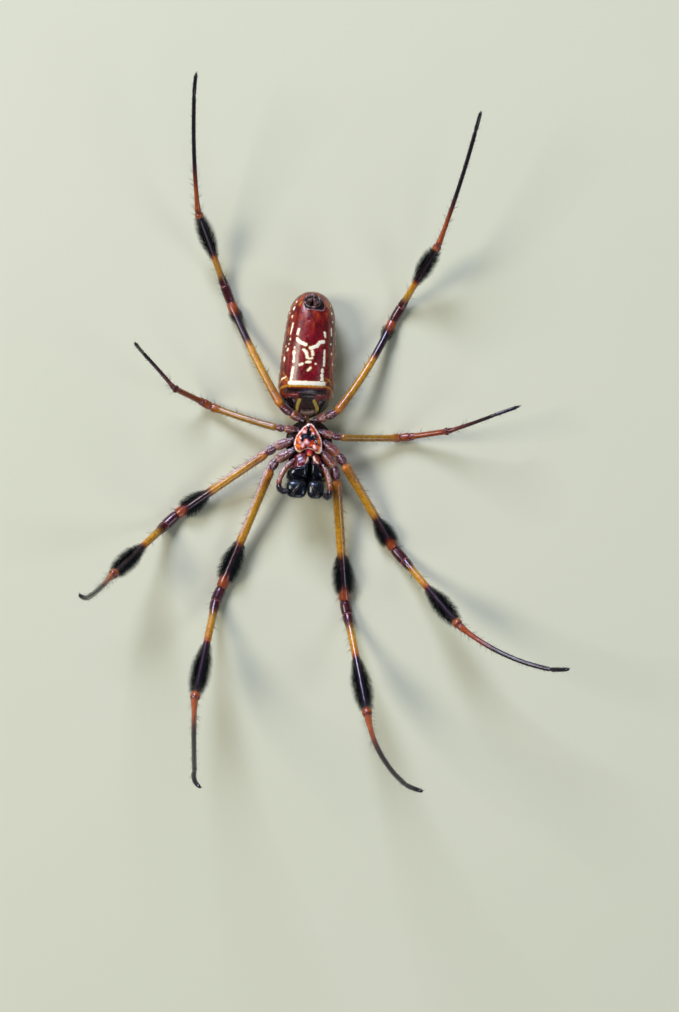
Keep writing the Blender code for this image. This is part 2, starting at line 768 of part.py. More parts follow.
def build_sternum(materials):
    """The breastplate between the coxae."""
    outline = [(half_width, v) for v, half_width in STERNUM_STATIONS]
    outline += [(-u, v) for u, v in reversed(outline)]
    rings = [[on_prosoma(u, v, z) for u, v in outline] for z in (DECK_Z, STERNUM_EDGE_Z)]
    for share, drop in STERNUM_LEVELS:
        ring = []
        for u, v in outline:
            near_u = STERNUM_CENTRE[0] + (u - STERNUM_CENTRE[0]) * share
            near_v = STERNUM_CENTRE[1] + (v - STERNUM_CENTRE[1]) * share
            ring.append(on_prosoma(near_u, near_v, sternum_top(near_u, near_v) - drop))
        rings.append(ring)
    add_object("sternum", loft_mesh(rings), materials["sternum"])


def plate_mesh(rows, middles, side, levels):
    """An upright plate whose outline is a stretched oval, shrunk level by level."""
    front = rows[-1][0]
    back = rows[0][0]
    widths = [(-v, half_width) for v, half_width in rows]
    rings = []
    for z, shrink in levels:
        ring = []
        for k in range(PLATE_SIDES):
            angle = 2 * math.pi * k / PLATE_SIDES
            v = back + (front - back) * (1 - math.cos(angle) * shrink) / 2
            middle = side * read_profile(middles, -v)
            u = middle + read_profile(widths, -v) * shrink * math.sin(angle)
            ring.append(on_prosoma(u, v, z))
        rings.append(ring)
    return loft_mesh(rings)


def build_mouth_plates(materials):
    """The labium and the two maxillae that flank it."""
    labium = plate_mesh(LABIUM_ROWS, ((0.0, 0.0),), 1, LABIUM_LEVELS)
    add_object("labium", labium, materials["labium"])
    for name, side in (("left", -1), ("right", 1)):
        maxilla = plate_mesh(MAXILLA_ROWS, MAXILLA_MIDDLES, side, MAXILLA_LEVELS)
        add_object(f"maxilla_{name}", maxilla, materials["maxilla"])


def boxed(value):
    """A sine or cosine bent so that the section it draws is boxier than an oval."""
    return math.copysign(abs(value) ** CHELICERA_SQUARENESS, value)


def build_chelicerae(materials):
    """The two stout jaws and the fang folded over the end of each."""
    for name, side in (("left", -1), ("right", 1)):
        rings = []
        for v, z, half_width, half_depth in CHELICERA_ROWS:
            middle = CHELICERA_MIDDLE + side * CHELICERA_OFFSET
            ring = []
            for k in range(CHELICERA_SIDES):
                angle = 2 * math.pi * k / CHELICERA_SIDES
                u = middle + half_width * boxed(math.cos(angle))
                ring.append(on_prosoma(u, v + half_depth * boxed(math.sin(angle)), z))
            rings.append(ring)
        add_object(f"chelicera_{name}", loft_mesh(rings), materials["chelicera"])
        path = [on_prosoma(CHELICERA_MIDDLE + side * u, v, z) for u, v, z, _ in FANG_ROWS]
        rings = tube_rings(path, [row[3] for row in FANG_ROWS], FANG_SIDES)
        add_object(f"fang_{name}", loft_mesh(rings), materials["fang"])


def tube_rings(path, radii, sides):
    """Rings round a path of points, each square to the path there."""
    rings = []
    side = (path[1] - path[0]).orthogonal()
    for k, (centre, radius) in enumerate(zip(path, radii)):
        before = path[max(k - 1, 0)]
        after = path[min(k + 1, len(path) - 1)]
        tangent = (after - before).normalized()
        side = (side - tangent * side.dot(tangent)).normalized()
        rings.append(circle(centre, side, side.cross(tangent), radius, sides))
    return rings


def build_palps(materials):
    """The two short feelers beside the jaws."""
    for name, joints in PALPS.items():
        rings = tube_rings([j[0] for j in joints], [j[1] for j in joints], LEG_SIDES)
        add_object(f"pedipalp_{name}", loft_mesh(rings), materials["pedipalp"])


def build_pedicel(materials):
    """The narrow waist between the sternum's tip and the abdomen."""
    rings = tube_rings(PEDICEL_PATH, PEDICEL_RADII, LEG_SIDES)
    add_object("pedicel", loft_mesh(rings), materials["pedicel"])


def build_spinnerets(materials):
    """The cluster of silk spigots on the rear of the underside."""
    lean = math.radians(SPINNERET_LEAN)
    outward = Vector((0, math.sin(lean), math.cos(lean)))
    along = Vector((0, math.cos(lean), -math.sin(lean)))
    foot = on_abdomen(*SPINNERET_PLACE) + outward * JOINT_GAP
    low_radius, high_radius, height = SPINNERET_BASE
    base = cone_mesh(foot, foot + outward * height, low_radius, high_radius, PLATE_SIDES)
    cones = []
    for across, back, length, radius in SPIGOTS:
        for side in (-1, 1):
            spread = Vector((side * across, 0, 0)) + along * back
            root = foot + spread + outward * (height - SPIGOT_SINK)
            tip = root + outward * length - spread * 0.3
            cones.append(cone_mesh(root, tip, radius, radius / 2, SPIGOT_SIDES))
    add_object("spinnerets", fused(base, cones), materials["spinnerets"])


def build_eyes(materials):
    """Eight simple eyes on the front of the head."""
    for name, seat, outward in eye_seats():
        side = outward.orthogonal().normalized()
        other = outward.cross(side)
        rings = []
        for height, share in EYE_DOME:
            middle = seat + outward * (MOUND_HEIGHT + EYE_GAP + height)
            ring = circle(middle, side, other, EYE_RADIUS * share, EYE_SIDES)
            rings.append([on_prosoma(*point) for point in ring])
        add_object(name, loft_mesh(rings), materials["eye"])


def make_materials():
    """One material for each kind of piece."""
    amber = (0.55, 0.30, 0.03)
    umber = (0.22, 0.06, 0.03)
    black = (0.02, 0.018, 0.022)
    return {
        "coxa": make_material("leg_base_amber", (0.45, 0.20, 0.10), 0.4),
        "femur": make_material("leg_amber", amber, 0.35),
        "tibia": make_material("leg_banded", umber, 0.35),
        "tarsus": make_material("leg_black", black, 0.45),
        "abdomen": make_material("abdomen_crimson", (0.30, 0.02, 0.02), 0.25),
        "carapace": make_material("carapace_silver", (0.55, 0.53, 0.48), 0.5),
        "sternum": make_material("sternum_orange", (0.65, 0.16, 0.06), 0.35),
        "labium": make_material("labium_red", (0.35, 0.03, 0.03), 0.35),
        "maxilla": make_material("mouthpart_black", black, 0.3),
        "chelicera": make_material("jaw_black", (0.012, 0.012, 0.015), 0.25),
        "fang": make_material("fang_black", (0.03, 0.01, 0.01), 0.2),
        "pedipalp": make_material("palp_amber", (0.50, 0.26, 0.12), 0.4),
        "pedicel": make_material("waist_brown", (0.30, 0.18, 0.10), 0.5),
        "spinnerets": make_material("spinneret_brown", (0.10, 0.04, 0.04), 0.5),
        "eye": make_material("eye_black", (0.01, 0.01, 0.01), 0.05),
    }


def main():
    """Builds the whole animal."""
    clear_scene()
    materials = make_materials()
    for name, (root, *segments) in LEGS.items():
        build_leg(name, root, segments, materials)
    build_abdomen(materials)
    build_carapace(materials)
    build_sternum(materials)
    build_mouth_plates(materials)
    build_chelicerae(materials)
    build_palps(materials)
    build_pedicel(materials)
    build_spinnerets(materials)
    build_eyes(materials)


main()
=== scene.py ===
"""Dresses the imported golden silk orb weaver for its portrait.

An adult female lies on her back with her legs spread and her underside to the camera. The
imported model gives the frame. Each leg becomes one skin with its brushes, bristles and claws,
and the abdomen, the plates, the jaws and the eyes get their fine shape and their finish.

Sizes are in millimetres and angles in degrees, and finished meshes are scaled to metres. Her
own line runs along v, towards the spinnerets, with u across it and z up out of her underside.
"""

from __future__ import annotations

import logging
import math
from collections.abc import Callable, Iterable, Sequence
from dataclasses import asdict, dataclass, field
from enum import Enum
from functools import partial, reduce

import bpy
import numpy as np
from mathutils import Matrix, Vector, noise


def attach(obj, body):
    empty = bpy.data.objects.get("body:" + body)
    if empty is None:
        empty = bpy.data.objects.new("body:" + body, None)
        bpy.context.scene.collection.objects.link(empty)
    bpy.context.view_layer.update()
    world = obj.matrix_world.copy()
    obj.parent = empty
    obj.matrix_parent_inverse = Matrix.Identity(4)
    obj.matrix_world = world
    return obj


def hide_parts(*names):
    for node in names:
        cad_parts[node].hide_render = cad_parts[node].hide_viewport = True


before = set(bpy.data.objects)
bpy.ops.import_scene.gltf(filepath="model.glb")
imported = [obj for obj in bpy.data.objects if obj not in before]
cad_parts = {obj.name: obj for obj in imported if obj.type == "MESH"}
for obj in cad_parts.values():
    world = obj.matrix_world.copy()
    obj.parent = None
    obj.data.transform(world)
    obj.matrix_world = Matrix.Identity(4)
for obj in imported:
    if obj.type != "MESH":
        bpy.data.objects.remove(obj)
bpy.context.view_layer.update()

log = logging.getLogger("orb_weaver")

METRES_PER_MM = 0.001
BODY = "root"
SKIN_MAP = "skin_map"
BAKE_MAP = "OFBake"

PROSOMA_PIVOT = (-0.15, -12.9)
PROSOMA_YAW = -3.0
ABDOMEN_PIVOT = (0.0, 0.0)
ABDOMEN_YAW = -4.3
RIM_Z = 3.3
FULL_TURN = 2 * math.pi

Array = np.ndarray
Material = bpy.types.Material
Node = bpy.types.Node
Object = bpy.types.Object
Socket = bpy.types.NodeSocket
Tree = bpy.types.NodeTree
Row = tuple[float, ...]
Stops = tuple[tuple[float, str], ...]


class Slot(Enum):
    """The record's material slots."""

    LEG_BANDED = "leg_banded"
    LEG_BASE = "leg_base"
    LEG_BLACK = "leg_black"
    ABDOMEN = "abdomen"
    SPINNERET = "spinneret"
    WAIST = "waist"
    CARAPACE = "carapace"
    STERNUM = "sternum"
    LABIUM = "labium"
    JAW = "jaw"
    FANG = "fang"
    PALP = "palp"
    EYE = "eye"


class Side(Enum):
    """The picture's left or right, with the sign of u there."""

    LEFT = -1
    RIGHT = 1

    @property
    def word(self) -> str:
        """The side as it stands in a piece's name."""
        return self.name.lower()


def linear(colour: str) -> tuple[float, float, float, float]:
    """The linear light of a six-digit screen colour, opaque.

    Args:
        colour: the red, green and blue parts as hexadecimal digits.

    Returns:
        The linear colour, opaque.
    """
    parts = [int(colour[k : k + 2], 16) / 255 for k in (0, 2, 4)]
    light = [p / 12.92 if p <= 0.04045 else ((p + 0.055) / 1.055) ** 2.4 for p in parts]
    return (*light, 1.0)


def smooth_step(low: float, high: float, value: Array) -> Array:
    """A smooth rise from 0 at the low value to 1 at the high one."""
    share = np.clip((value - low) / (high - low), 0.0, 1.0)
    return share * share * (3 - 2 * share)


def turned(points: Array, pivot: Sequence[float], yaw: float) -> Array:
    """Points turned about a vertical axis through x and y, by degrees.

    Args:
        points: places, with x, y and z last.
        pivot: x and y of the axis.
        yaw: the turn in degrees.

    Returns:
        The turned places.
    """
    cosine, sine = math.cos(math.radians(yaw)), math.sin(math.radians(yaw))
    turn = np.array([[cosine, sine, 0.0], [-sine, cosine, 0.0], [0.0, 0.0, 1.0]])
    return (points - (*pivot, 0.0)) @ turn + (*pivot, 0.0)


def on_prosoma(points: Array) -> Array:
    """Places of the front body, from its own line to the frame."""
    return turned(points, PROSOMA_PIVOT, PROSOMA_YAW)


def on_abdomen(points: Array) -> Array:
    """Places of the abdomen, from its own line to the frame."""
    return turned(points, ABDOMEN_PIVOT, ABDOMEN_YAW)


def direction(heading: float, rise: float) -> Array:
    """The unit vector with a compass heading from +X and a rise above the floor."""
    turn, lift = math.radians(heading), math.radians(rise)
    return np.array([math.cos(lift) * math.cos(turn), math.cos(lift) * math.sin(turn), math.sin(lift)])


def unit(vectors: Array) -> Array:
    """Vectors scaled to length one."""
    return vectors / np.maximum(np.linalg.norm(vectors, axis=-1, keepdims=True), 1e-9)


def wander(points: Array, scale: float, seed: float) -> Array:
    """Smooth noise between -1 and 1 at places, with so many waves to a millimetre."""
    shift = Vector((seed, seed * 1.7, seed * 0.6))
    return np.array([noise.noise(Vector(point) * scale + shift) for point in points])


class Profile:
    """Smooth curves through rows of place and values, with no overshoot between the rows."""

    def __init__(self, rows: Iterable[Row]) -> None:
        """Sorts the rows, each a place and the values there, and finds the slopes at them.

        Args:
            rows: each a place and the values there.
        """
        table = np.array(sorted(rows), float)
        self.places = table[:, 0]
        self.values = table[:, 1:]
        rises = np.diff(self.values, axis=0) / np.diff(self.places)[:, None]
        before, after = rises[:-1], rises[1:]
        total = np.where(before * after > 0, before + after, 1.0)
        inner = np.where(before * after > 0, 2 * before * after / total, 0.0)
        self.slopes = np.concatenate([rises[:1], inner, rises[-1:]])

    def at(self, places: Array) -> Array:
        """The curves' values, one row for each place.

        Args:
            places: where to read them.

        Returns:
            One row of values for each place.
        """
        places = np.asarray(places, float)
        index = np.clip(np.searchsorted(self.places, places) - 1, 0, len(self.places) - 2)
        width = (self.places[index + 1] - self.places[index])[..., None]
        share = np.clip((places - self.places[index])[..., None] / width, 0.0, 1.0)
        square = share * share
        cube = square * share
        return (
            self.values[index] * (2 * cube - 3 * square + 1)
            + self.values[index + 1] * (3 * square - 2 * cube)
            + self.slopes[index] * (cube - 2 * square + share) * width
            + self.slopes[index + 1] * (cube - square) * width
        )


@dataclass
class Form:
    """A surface in millimetres before it becomes a mesh."""

    points: Array
    faces: list[tuple[int, ...]]
    corner_map: list[tuple[float, float]]
    data: dict[str, Array] = field(default_factory=dict)

    def faced_out(self) -> Form:
        """The form with its faces pointing outwards, as the sign of its volume tells."""
        fans = [(f[0], f[k], f[k + 1]) for f in self.faces for k in range(1, len(f) - 1)]
        first, second, third = self.points[np.array(fans)].transpose(1, 0, 2)
        if np.sum(first * np.cross(second, third)) >= 0:
            return self
        turned_map = []
        for corners in self.faces:
            turned_map += self.corner_map[len(turned_map) : len(turned_map) + len(corners)][::-1]
        return Form(self.points, [corners[::-1] for corners in self.faces], turned_map, self.data)


def loft(
    rings: Array,
    along: Array | None = None,
    poles: Sequence[Array] | None = None,
    data: dict[str, Array] | None = None,
) -> Form:
    """Skins rings of points and closes both ends with a fan.

    Args:
        rings: points as (ring, place round it, axis).
        along: the map's second coordinate at each ring, from 0 to 1 if not given.
        poles: the middle of each end's fan, the ring's own middle if not given.
        data: values at each point, as (ring, place) or (ring, place, axis).

    Returns:
        The closed form, with its faces outwards.
    """
    count, sides = rings.shape[:2]
    rows = np.linspace(0, 1, count) if along is None else along
    ends = (rings[0].mean(axis=0), rings[-1].mean(axis=0)) if poles is None else poles
    points = np.concatenate([rings.reshape(-1, 3), np.array(ends)])
    faces: list[tuple[int, ...]] = []
    corner_map: list[tuple[float, float]] = []
    for low in range(count - 1):
        base = low * sides
        for k in range(sides):
            after = (k + 1) % sides
            faces.append((base + k, base + after, base + sides + after, base + sides + k))
            spots = ((k, low), (k + 1, low), (k + 1, low + 1), (k, low + 1))
            corner_map += [(place / sides, rows[row]) for place, row in spots]
    for ring, pole, way in ((0, count * sides, -1), (count - 1, count * sides + 1, 1)):
        for k in range(sides):
            corners = (ring * sides + k, ring * sides + (k + 1) % sides, pole)
            faces.append(corners[::way])
            corner_map += [(place / sides, rows[ring]) for place in (k, k + 1, k + 0.5)][::way]
    carried = {}
    for name, values in (data or {}).items():
        tips = [values[k].reshape(sides, -1).mean(0)[None] for k in (0, -1)]
        carried[name] = np.concatenate([values.reshape(count * sides, -1), *tips])
    return Form(points, faces, corner_map, carried).faced_out()


def joined(forms: Sequence[Form]) -> Form:
    """Several forms, all with the same data, as one.

    Args:
        forms: what is joined.

    Returns:
        The joined form.
    """
    faces: list[tuple[int, ...]] = []
    corner_map: list[tuple[float, float]] = []
    start = 0
    for form in forms:
        faces += [tuple(corner + start for corner in corners) for corners in form.faces]
        corner_map += form.corner_map
        start += len(form.points)
    data = {name: np.concatenate([f.data[name] for f in forms]) for name in forms[0].data}
    return Form(np.concatenate([f.points for f in forms]), faces, corner_map, data)


def angles(count: int) -> Array:
    """Even angles round a full turn."""
    return np.arange(count) / count * FULL_TURN


def bell(away: Array, width: float) -> Array:
    """A bell curve that is 1 where nothing lies away."""
    return np.exp(-((away / width) ** 2))


def squared(wave: Array, power: float) -> Array:
    """A sine or cosine whose size is raised to a power."""
    return np.sign(wave) * np.abs(wave) ** power


def spokes(across: Array, upward: Array, turns: Array) -> Array:
    """Vectors at angles between two axes, as (ring, place round it, axis)."""
    return across[:, None] * np.cos(turns)[:, None] + upward[:, None] * np.sin(turns)[:, None]


def carried_sides(side: Array, tangents: Array) -> Array:
    """A sideways vector carried along a path's tangents without twist, one row for each.

    Args:
        side: the vector before the first tangent.
        tangents: the path's directions.

    Returns:
        A unit vector for each tangent.
    """
    sides = []
    for tangent in tangents:
        side = unit(side - tangent * np.dot(side, tangent))
        sides.append(side)
    return np.array(sides)


def carried_frames(path: Array) -> tuple[Array, Array, Array]:
    """Tangent, side and upward unit vectors along a path, without twist.

    Args:
        path: points along it.

    Returns:
        Three unit vectors for each point.
    """
    tangents = unit(np.gradient(path, axis=0))
    side = np.cross(tangents[0], (0.0, 0.0, 1.0))
    if np.linalg.norm(side) < 0.05:
        side = np.array((1.0, 0.0, 0.0))
    across = carried_sides(side, tangents)
    return tangents, across, np.cross(across, tangents)


def tube(path: Array, radii: Array, sides: int) -> Form:
    """A closed tube along a path.

    Args:
        path: points along it.
        radii: its radius at each point.
        sides: points round it.

    Returns:
        The form, with the way along it as data.
    """
    tangents, across, upward = carried_frames(path)
    rings = path[:, None] + radii[:, None, None] * spokes(across, upward, angles(sides))
    lie = np.repeat(tangents[:, None], sides, axis=1)
    caps = (path[0] - tangents[0] * radii[0] * 0.3, path[-1] + tangents[-1] * radii[-1] * 0.3)
    return loft(rings, poles=caps, data={"lie": lie})


def curve_through(rows: Array) -> tuple[Profile, Array]:
    """A smooth curve through places, read by distance, and the distance of each row.

    Args:
        rows: the driving rows, whose first numbers are a place.

    Returns:
        The curve, and the distance of each row along it.
    """
    gaps = np.linalg.norm(np.diff(rows[:, :3], axis=0), axis=1)
    places = np.concatenate([[0.0], np.cumsum(gaps)])
    return Profile([(place, *row) for place, row in zip(places, rows)]), places


def smooth_path(rows: Sequence[Row], steps: int) -> Array:
    """Evenly spaced rows on a smooth curve through a few rows, whose first numbers are a place."""
    curve, places = curve_through(np.array(rows, float))
    return curve.at(np.linspace(0, places[-1], steps))


def smooth_outline(points: Sequence[Row], count: int) -> Array:
    """A closed smooth outline through a few points.

    Args:
        points: u and v of each.
        count: how many points are wanted.

    Returns:
        The finer outline.
    """
    table = np.array(points, float)
    curve, places = curve_through(np.concatenate([table[-2:], table, table[:3]]))
    return curve.at(np.linspace(places[2], places[2 + len(table)], count, endpoint=False))


def placed(name: str, data: bpy.types.ID, place: Row = (0.0, 0.0, 0.0)) -> Object:
    """A new object in the scene, at a place in millimetres.

    Args:
        name: its name.
        data: its mesh, light or camera.
        place: where it stands.

    Returns:
        The object.
    """
    thing = bpy.data.objects.new(name, data)
    thing.location = Vector(place) * METRES_PER_MM
    bpy.context.scene.collection.objects.link(thing)
    return thing


def declared(name: str, mesh: bpy.types.Mesh, material: Material) -> Object:
    """A piece of the model from its finished mesh, riding on the body.

    Args:
        name: the piece's name.
        mesh: its surface.
        material: its finish.

    Returns:
        The piece.
    """
    mesh.materials.clear()
    mesh.materials.append(material)
    piece = placed(name, mesh)
    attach(piece, BODY)
    log.info("%s: %d faces", name, len(mesh.polygons))
    return piece


def to_piece(
    form: Form, name: str, material: Material, replaced: Sequence[str] = ()
) -> Object:
    """Makes a piece of the model from a form.

    Args:
        form: its surface in millimetres.
        name: the piece's name.
        material: its finish.
        replaced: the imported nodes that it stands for.

    Returns:
        The piece, riding on the body.
    """
    mesh = bpy.data.meshes.new(name)
    mesh.from_pydata((form.points * METRES_PER_MM).tolist(), [], form.faces)
    layer = mesh.uv_layers.new(name=SKIN_MAP)
    layer.data.foreach_set("uv", np.array(form.corner_map, np.float32).ravel())
    for label, values in form.data.items():
        wide = values.size == 3 * len(form.points)
        attribute = mesh.attributes.new(label, "FLOAT_VECTOR" if wide else "FLOAT", "POINT")
        attribute.data.foreach_set("vector" if wide else "value", values.astype(np.float32).ravel())
    mesh.shade_smooth()
    piece = declared(name, mesh, material)
    if replaced:
        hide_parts(*replaced)
    return piece


class NodeCanvas:
    """Adds nodes to one tree and joins their sockets."""

    def __init__(self, tree: Tree) -> None:
        """Keeps the tree."""
        self.tree = tree

    def add(self, kind: str, inputs: dict[int | str, object] | None = None, **settings: object) -> Node:
        """Adds a node.

        Args:
            kind: its Blender type.
            inputs: a value or a socket for each input, by name or number.
            settings: its own properties.

        Returns:
            The node.
        """
        node = self.tree.nodes.new(kind)
        for key, value in settings.items():
            setattr(node, key, value)
        for key, value in (inputs or {}).items():
            self.feed(node.inputs[key] if isinstance(key, int) else self.live(node.inputs, key), value)
        return node

    @staticmethod
    def live(sockets: Iterable[Socket], name: str) -> Socket:
        """The enabled socket of that name."""
        return next(socket for socket in sockets if socket.name == name and socket.enabled)

    def feed(self, socket: Socket, value: object) -> None:
        """Joins a socket to another, or sets its value, which may be a screen colour."""
        if isinstance(value, Socket):
            self.tree.links.new(value, socket)
        else:
            socket.default_value = linear(value) if socket.type == "RGBA" else value

    def opened(self, label: str, way: str, kind: str) -> bpy.types.NodeTreeInterfaceSocket:
        """A new input or output of the tree itself."""
        return self.tree.interface.new_socket(label, in_out=way, socket_type=f"NodeSocket{kind}")

    def group(self, tree: Tree, **inputs: object) -> Sequence[Socket]:
        """The outputs of a node group, whose inputs are given by their names in lower case."""
        named = {key.title(): value for key, value in inputs.items()}
        return self.add("ShaderNodeGroup", named, node_tree=tree).outputs

    def math(self, operation: str, first: object, second: object) -> Socket:
        """The result of a Math node."""
        return self.add("ShaderNodeMath", {0: first, 1: second}, operation=operation).outputs[0]

    def plus(self, *values: object) -> Socket:
        """The sum of the values."""
        return reduce(partial(self.math, "ADD"), values)

    def times(self, *values: object) -> Socket:
        """The product of the values."""
        return reduce(partial(self.math, "MULTIPLY"), values)

    def less(self, first: object, second: object) -> Socket:
        """The first value less the second."""
        return self.math("SUBTRACT", first, second)

    def vector_math(self, operation: str, inputs: dict[int | str, object]) -> Socket:
        """The vector result of a Vector Math node."""
        return self.add("ShaderNodeVectorMath", inputs, operation=operation).outputs["Vector"]

    def scaled(self, vector: Socket, scale: object) -> Socket:
        """A vector times a number."""
        return self.vector_math("SCALE", {"Vector": vector, "Scale": scale})

    def stretched(self, vector: Socket, scale: Row) -> Socket:
        """A vector scaled axis by axis by a Mapping node."""
        return self.add("ShaderNodeMapping", {"Vector": vector, "Scale": scale}).outputs[0]

    def parts(self, vector: Socket) -> Sequence[Socket]:
        """The three parts of a vector."""
        return self.add("ShaderNodeSeparateXYZ", {0: vector}).outputs

    def vector(self, *parts: Socket) -> Socket:
        """A vector from up to three parts."""
        return self.add("ShaderNodeCombineXYZ", dict(enumerate(parts))).outputs[0]

    def rise(self, value: object, low: object, high: object) -> Socket:
        """A smooth rise from 0 to 1 between two values."""
        inputs = {"Value": value, "From Min": low, "From Max": high, "To Min": 0.0, "To Max": 1.0}
        return self.add("ShaderNodeMapRange", inputs, interpolation_type="SMOOTHSTEP").outputs["Result"]

    def fall(self, value: object, low: object, high: object) -> Socket:
        """A smooth fall from 1 to 0 between two values."""
        return self.less(1.0, self.rise(value, low, high))

    def mixed(self, share: object, first: object, second: object, blend: str = "MIX") -> Socket:
        """A colour between two colours."""
        inputs = {"Factor": share, "A": first, "B": second}
        node = self.add("ShaderNodeMix", inputs, data_type="RGBA", blend_type=blend)
        return self.live(node.outputs, "Result")

    def ramp(self, value: Socket, stops: Stops) -> Socket:
        """A colour read off a ramp.

        Args:
            value: where to read it.
            stops: places from 0 to 1 and their screen colours.

        Returns:
            The colour.
        """
        node = self.add("ShaderNodeValToRGB", {0: value})
        elements = node.color_ramp.elements
        for k in (0, -1):
            elements[k].position = stops[k][0]
            elements[k].color = linear(stops[k][1])
        for place, colour in stops[1:-1]:
            elements.new(place).color = linear(colour)
        return node.outputs["Color"]

    def noise(self, vector: Socket, scale: object, detail: float) -> Socket:
        """The grey value of a Noise Texture."""
        inputs = {"Vector": vector, "Scale": scale, "Detail": detail}
        return self.add("ShaderNodeTexNoise", inputs).outputs["Fac"]

    def attribute(self, name: str, output: str = "Fac") -> Socket:
        """A value that the mesh carries."""
        return self.add("ShaderNodeAttribute", attribute_name=name).outputs[output]

    def millimetres(self) -> Socket:
        """The place on the object, in millimetres."""
        return self.scaled(self.add("ShaderNodeTexCoord").outputs["Object"], 1 / METRES_PER_MM)

    def shade(self, **values: object) -> None:
        """Feeds the shader's inputs, named in lower case with underscores for spaces."""
        shader = self.tree.nodes["Principled BSDF"]
        for key, value in values.items():
            self.feed(shader.inputs[key.replace("_", " ").title().replace("Ior", "IOR")], value)

    def bump(self, height: Socket, depth: float) -> None:
        """Feeds the shader's normal from a height, whose full depth is given in millimetres."""
        inputs = {"Height": height, "Strength": 1.0, "Distance": depth * METRES_PER_MM}
        self.shade(normal=self.add("ShaderNodeBump", inputs).outputs["Normal"])


Drawn = dict[str, Socket]


class Effects:
    """The shader node groups that more than one finish places."""

    @staticmethod
    def _made(name: str, inputs: dict[str, float | None], draw: Callable[..., Drawn]) -> Tree:
        """A group, drawn once.

        Args:
            name: the group's name.
            inputs: each input's usual value, or None for a vector.
            draw: gives the group's outputs from a canvas and the inputs.

        Returns:
            The group.
        """
        found = bpy.data.node_groups.get(name)
        if found:
            return found
        canvas = NodeCanvas(bpy.data.node_groups.new(name, "ShaderNodeTree"))
        for label, usual in inputs.items():
            socket = canvas.opened(label, "INPUT", "Vector" if usual is None else "Float")
            if usual is not None:
                socket.default_value = usual
        entry = canvas.add("NodeGroupInput").outputs
        drawn = draw(canvas, *[entry[label] for label in inputs])
        for label, value in drawn.items():
            canvas.opened(label, "OUTPUT", "Color" if value.type == "RGBA" else "Float")
        canvas.add("NodeGroupOutput", drawn)
        return canvas.tree

    @classmethod
    def cuticle(cls) -> Tree:
        """Fine grain, shallow pits and slow unevenness of the hard skin."""

        def draw(canvas: NodeCanvas, place: Socket, grain: Socket, pits: Socket) -> Drawn:
            """The height and the tone."""
            cells = canvas.add("ShaderNodeTexVoronoi", {"Vector": place, "Scale": 6.5})
            dents = canvas.times(canvas.rise(cells.outputs["Distance"], 0.1, 0.35), pits)
            height = canvas.plus(canvas.noise(place, grain, 4.0), dents, canvas.noise(place, 1.1, 2.0))
            return {"Height": height, "Tone": canvas.noise(place, 2.7, 4.0)}

        return cls._made("cuticle", {"Place": None, "Grain": 9.0, "Pits": 0.5}, draw)

    @classmethod
    def speckle(cls) -> Tree:
        """Scattered round spots, uneven in size."""

        def draw(canvas: NodeCanvas, place: Socket, scale: Socket, size: Socket) -> Drawn:
            """The mask."""
            cells = canvas.add("ShaderNodeTexVoronoi", {"Vector": place, "Scale": scale}).outputs
            shade = canvas.add("ShaderNodeSeparateColor", {0: cells["Color"]}).outputs[0]
            inner = canvas.times(size, shade)
            return {"Mask": canvas.rise(cells["Distance"], canvas.plus(inner, 0.05), inner)}

        return cls._made("speckle", {"Place": None, "Scale": 1.6, "Size": 0.16}, draw)

    @classmethod
    def painted(cls) -> Tree:
        """The mask of a marking from the distance to its edge, with an uneven border."""

        def draw(
            canvas: NodeCanvas, distance: Socket, place: Socket, soft: Socket, ragged: Socket, grain: Socket
        ) -> Drawn:
            """The mask."""
            wave = canvas.times(canvas.less(canvas.noise(place, grain, 3.0), 0.5), ragged)
            return {"Mask": canvas.rise(canvas.plus(distance, wave), soft, canvas.times(soft, -1.0))}

        usual = {"Distance": 0.0, "Place": None, "Soft": 0.06, "Ragged": 0.15, "Grain": 4.0}
        return cls._made("painted", usual, draw)

    @classmethod
    def leg_marking(cls, name: str, near: Stops, far: Stops) -> Tree:
        """The colours along a leg, read by skin and bristles alike.

        Args:
            name: the group's name.
            near: colours from the hip to the middle of the knee, by segment and share.
            far: colours from there to the claws.

        Returns:
            The group.
        """
        half = len(SEGMENTS) / 2

        def draw(canvas: NodeCanvas, skin_map: Socket, place: Socket) -> Drawn:
            """The colour, the way along the leg, and how the skin faces up and to the rear."""
            turn, way, _ = canvas.parts(skin_map)
            along = canvas.times(way, 2 * half)
            wave = canvas.times(canvas.less(canvas.noise(place, 3.0, 2.0), 0.5), 0.03)
            spot = canvas.plus(along, wave)
            colours = []
            for where, base, stops in ((spot, 0.0, near), (canvas.less(spot, half), half, far)):
                own = tuple(((place - base) / half, colour) for place, colour in stops)
                colours.append(canvas.ramp(canvas.math("DIVIDE", where, half), own))
            angle = canvas.times(turn, FULL_TURN)
            return {
                "Color": canvas.mixed(canvas.math("GREATER_THAN", spot, half), *colours),
                "Along": along,
                "Upward": canvas.math("SINE", angle, 0.0),
                "Rearward": canvas.math("COSINE", angle, 0.0),
            }

        return cls._made(name, {"Map": None, "Place": None}, draw)


@dataclass(frozen=True)
class PaintLayer:
    """One colour of a marking, read from the distance that the mesh carries under its name."""

    label: str
    colour: str
    soft: float = 0.05
    ragged: float = 0.16
    strength: float = 1.0
    roughness: float | None = None


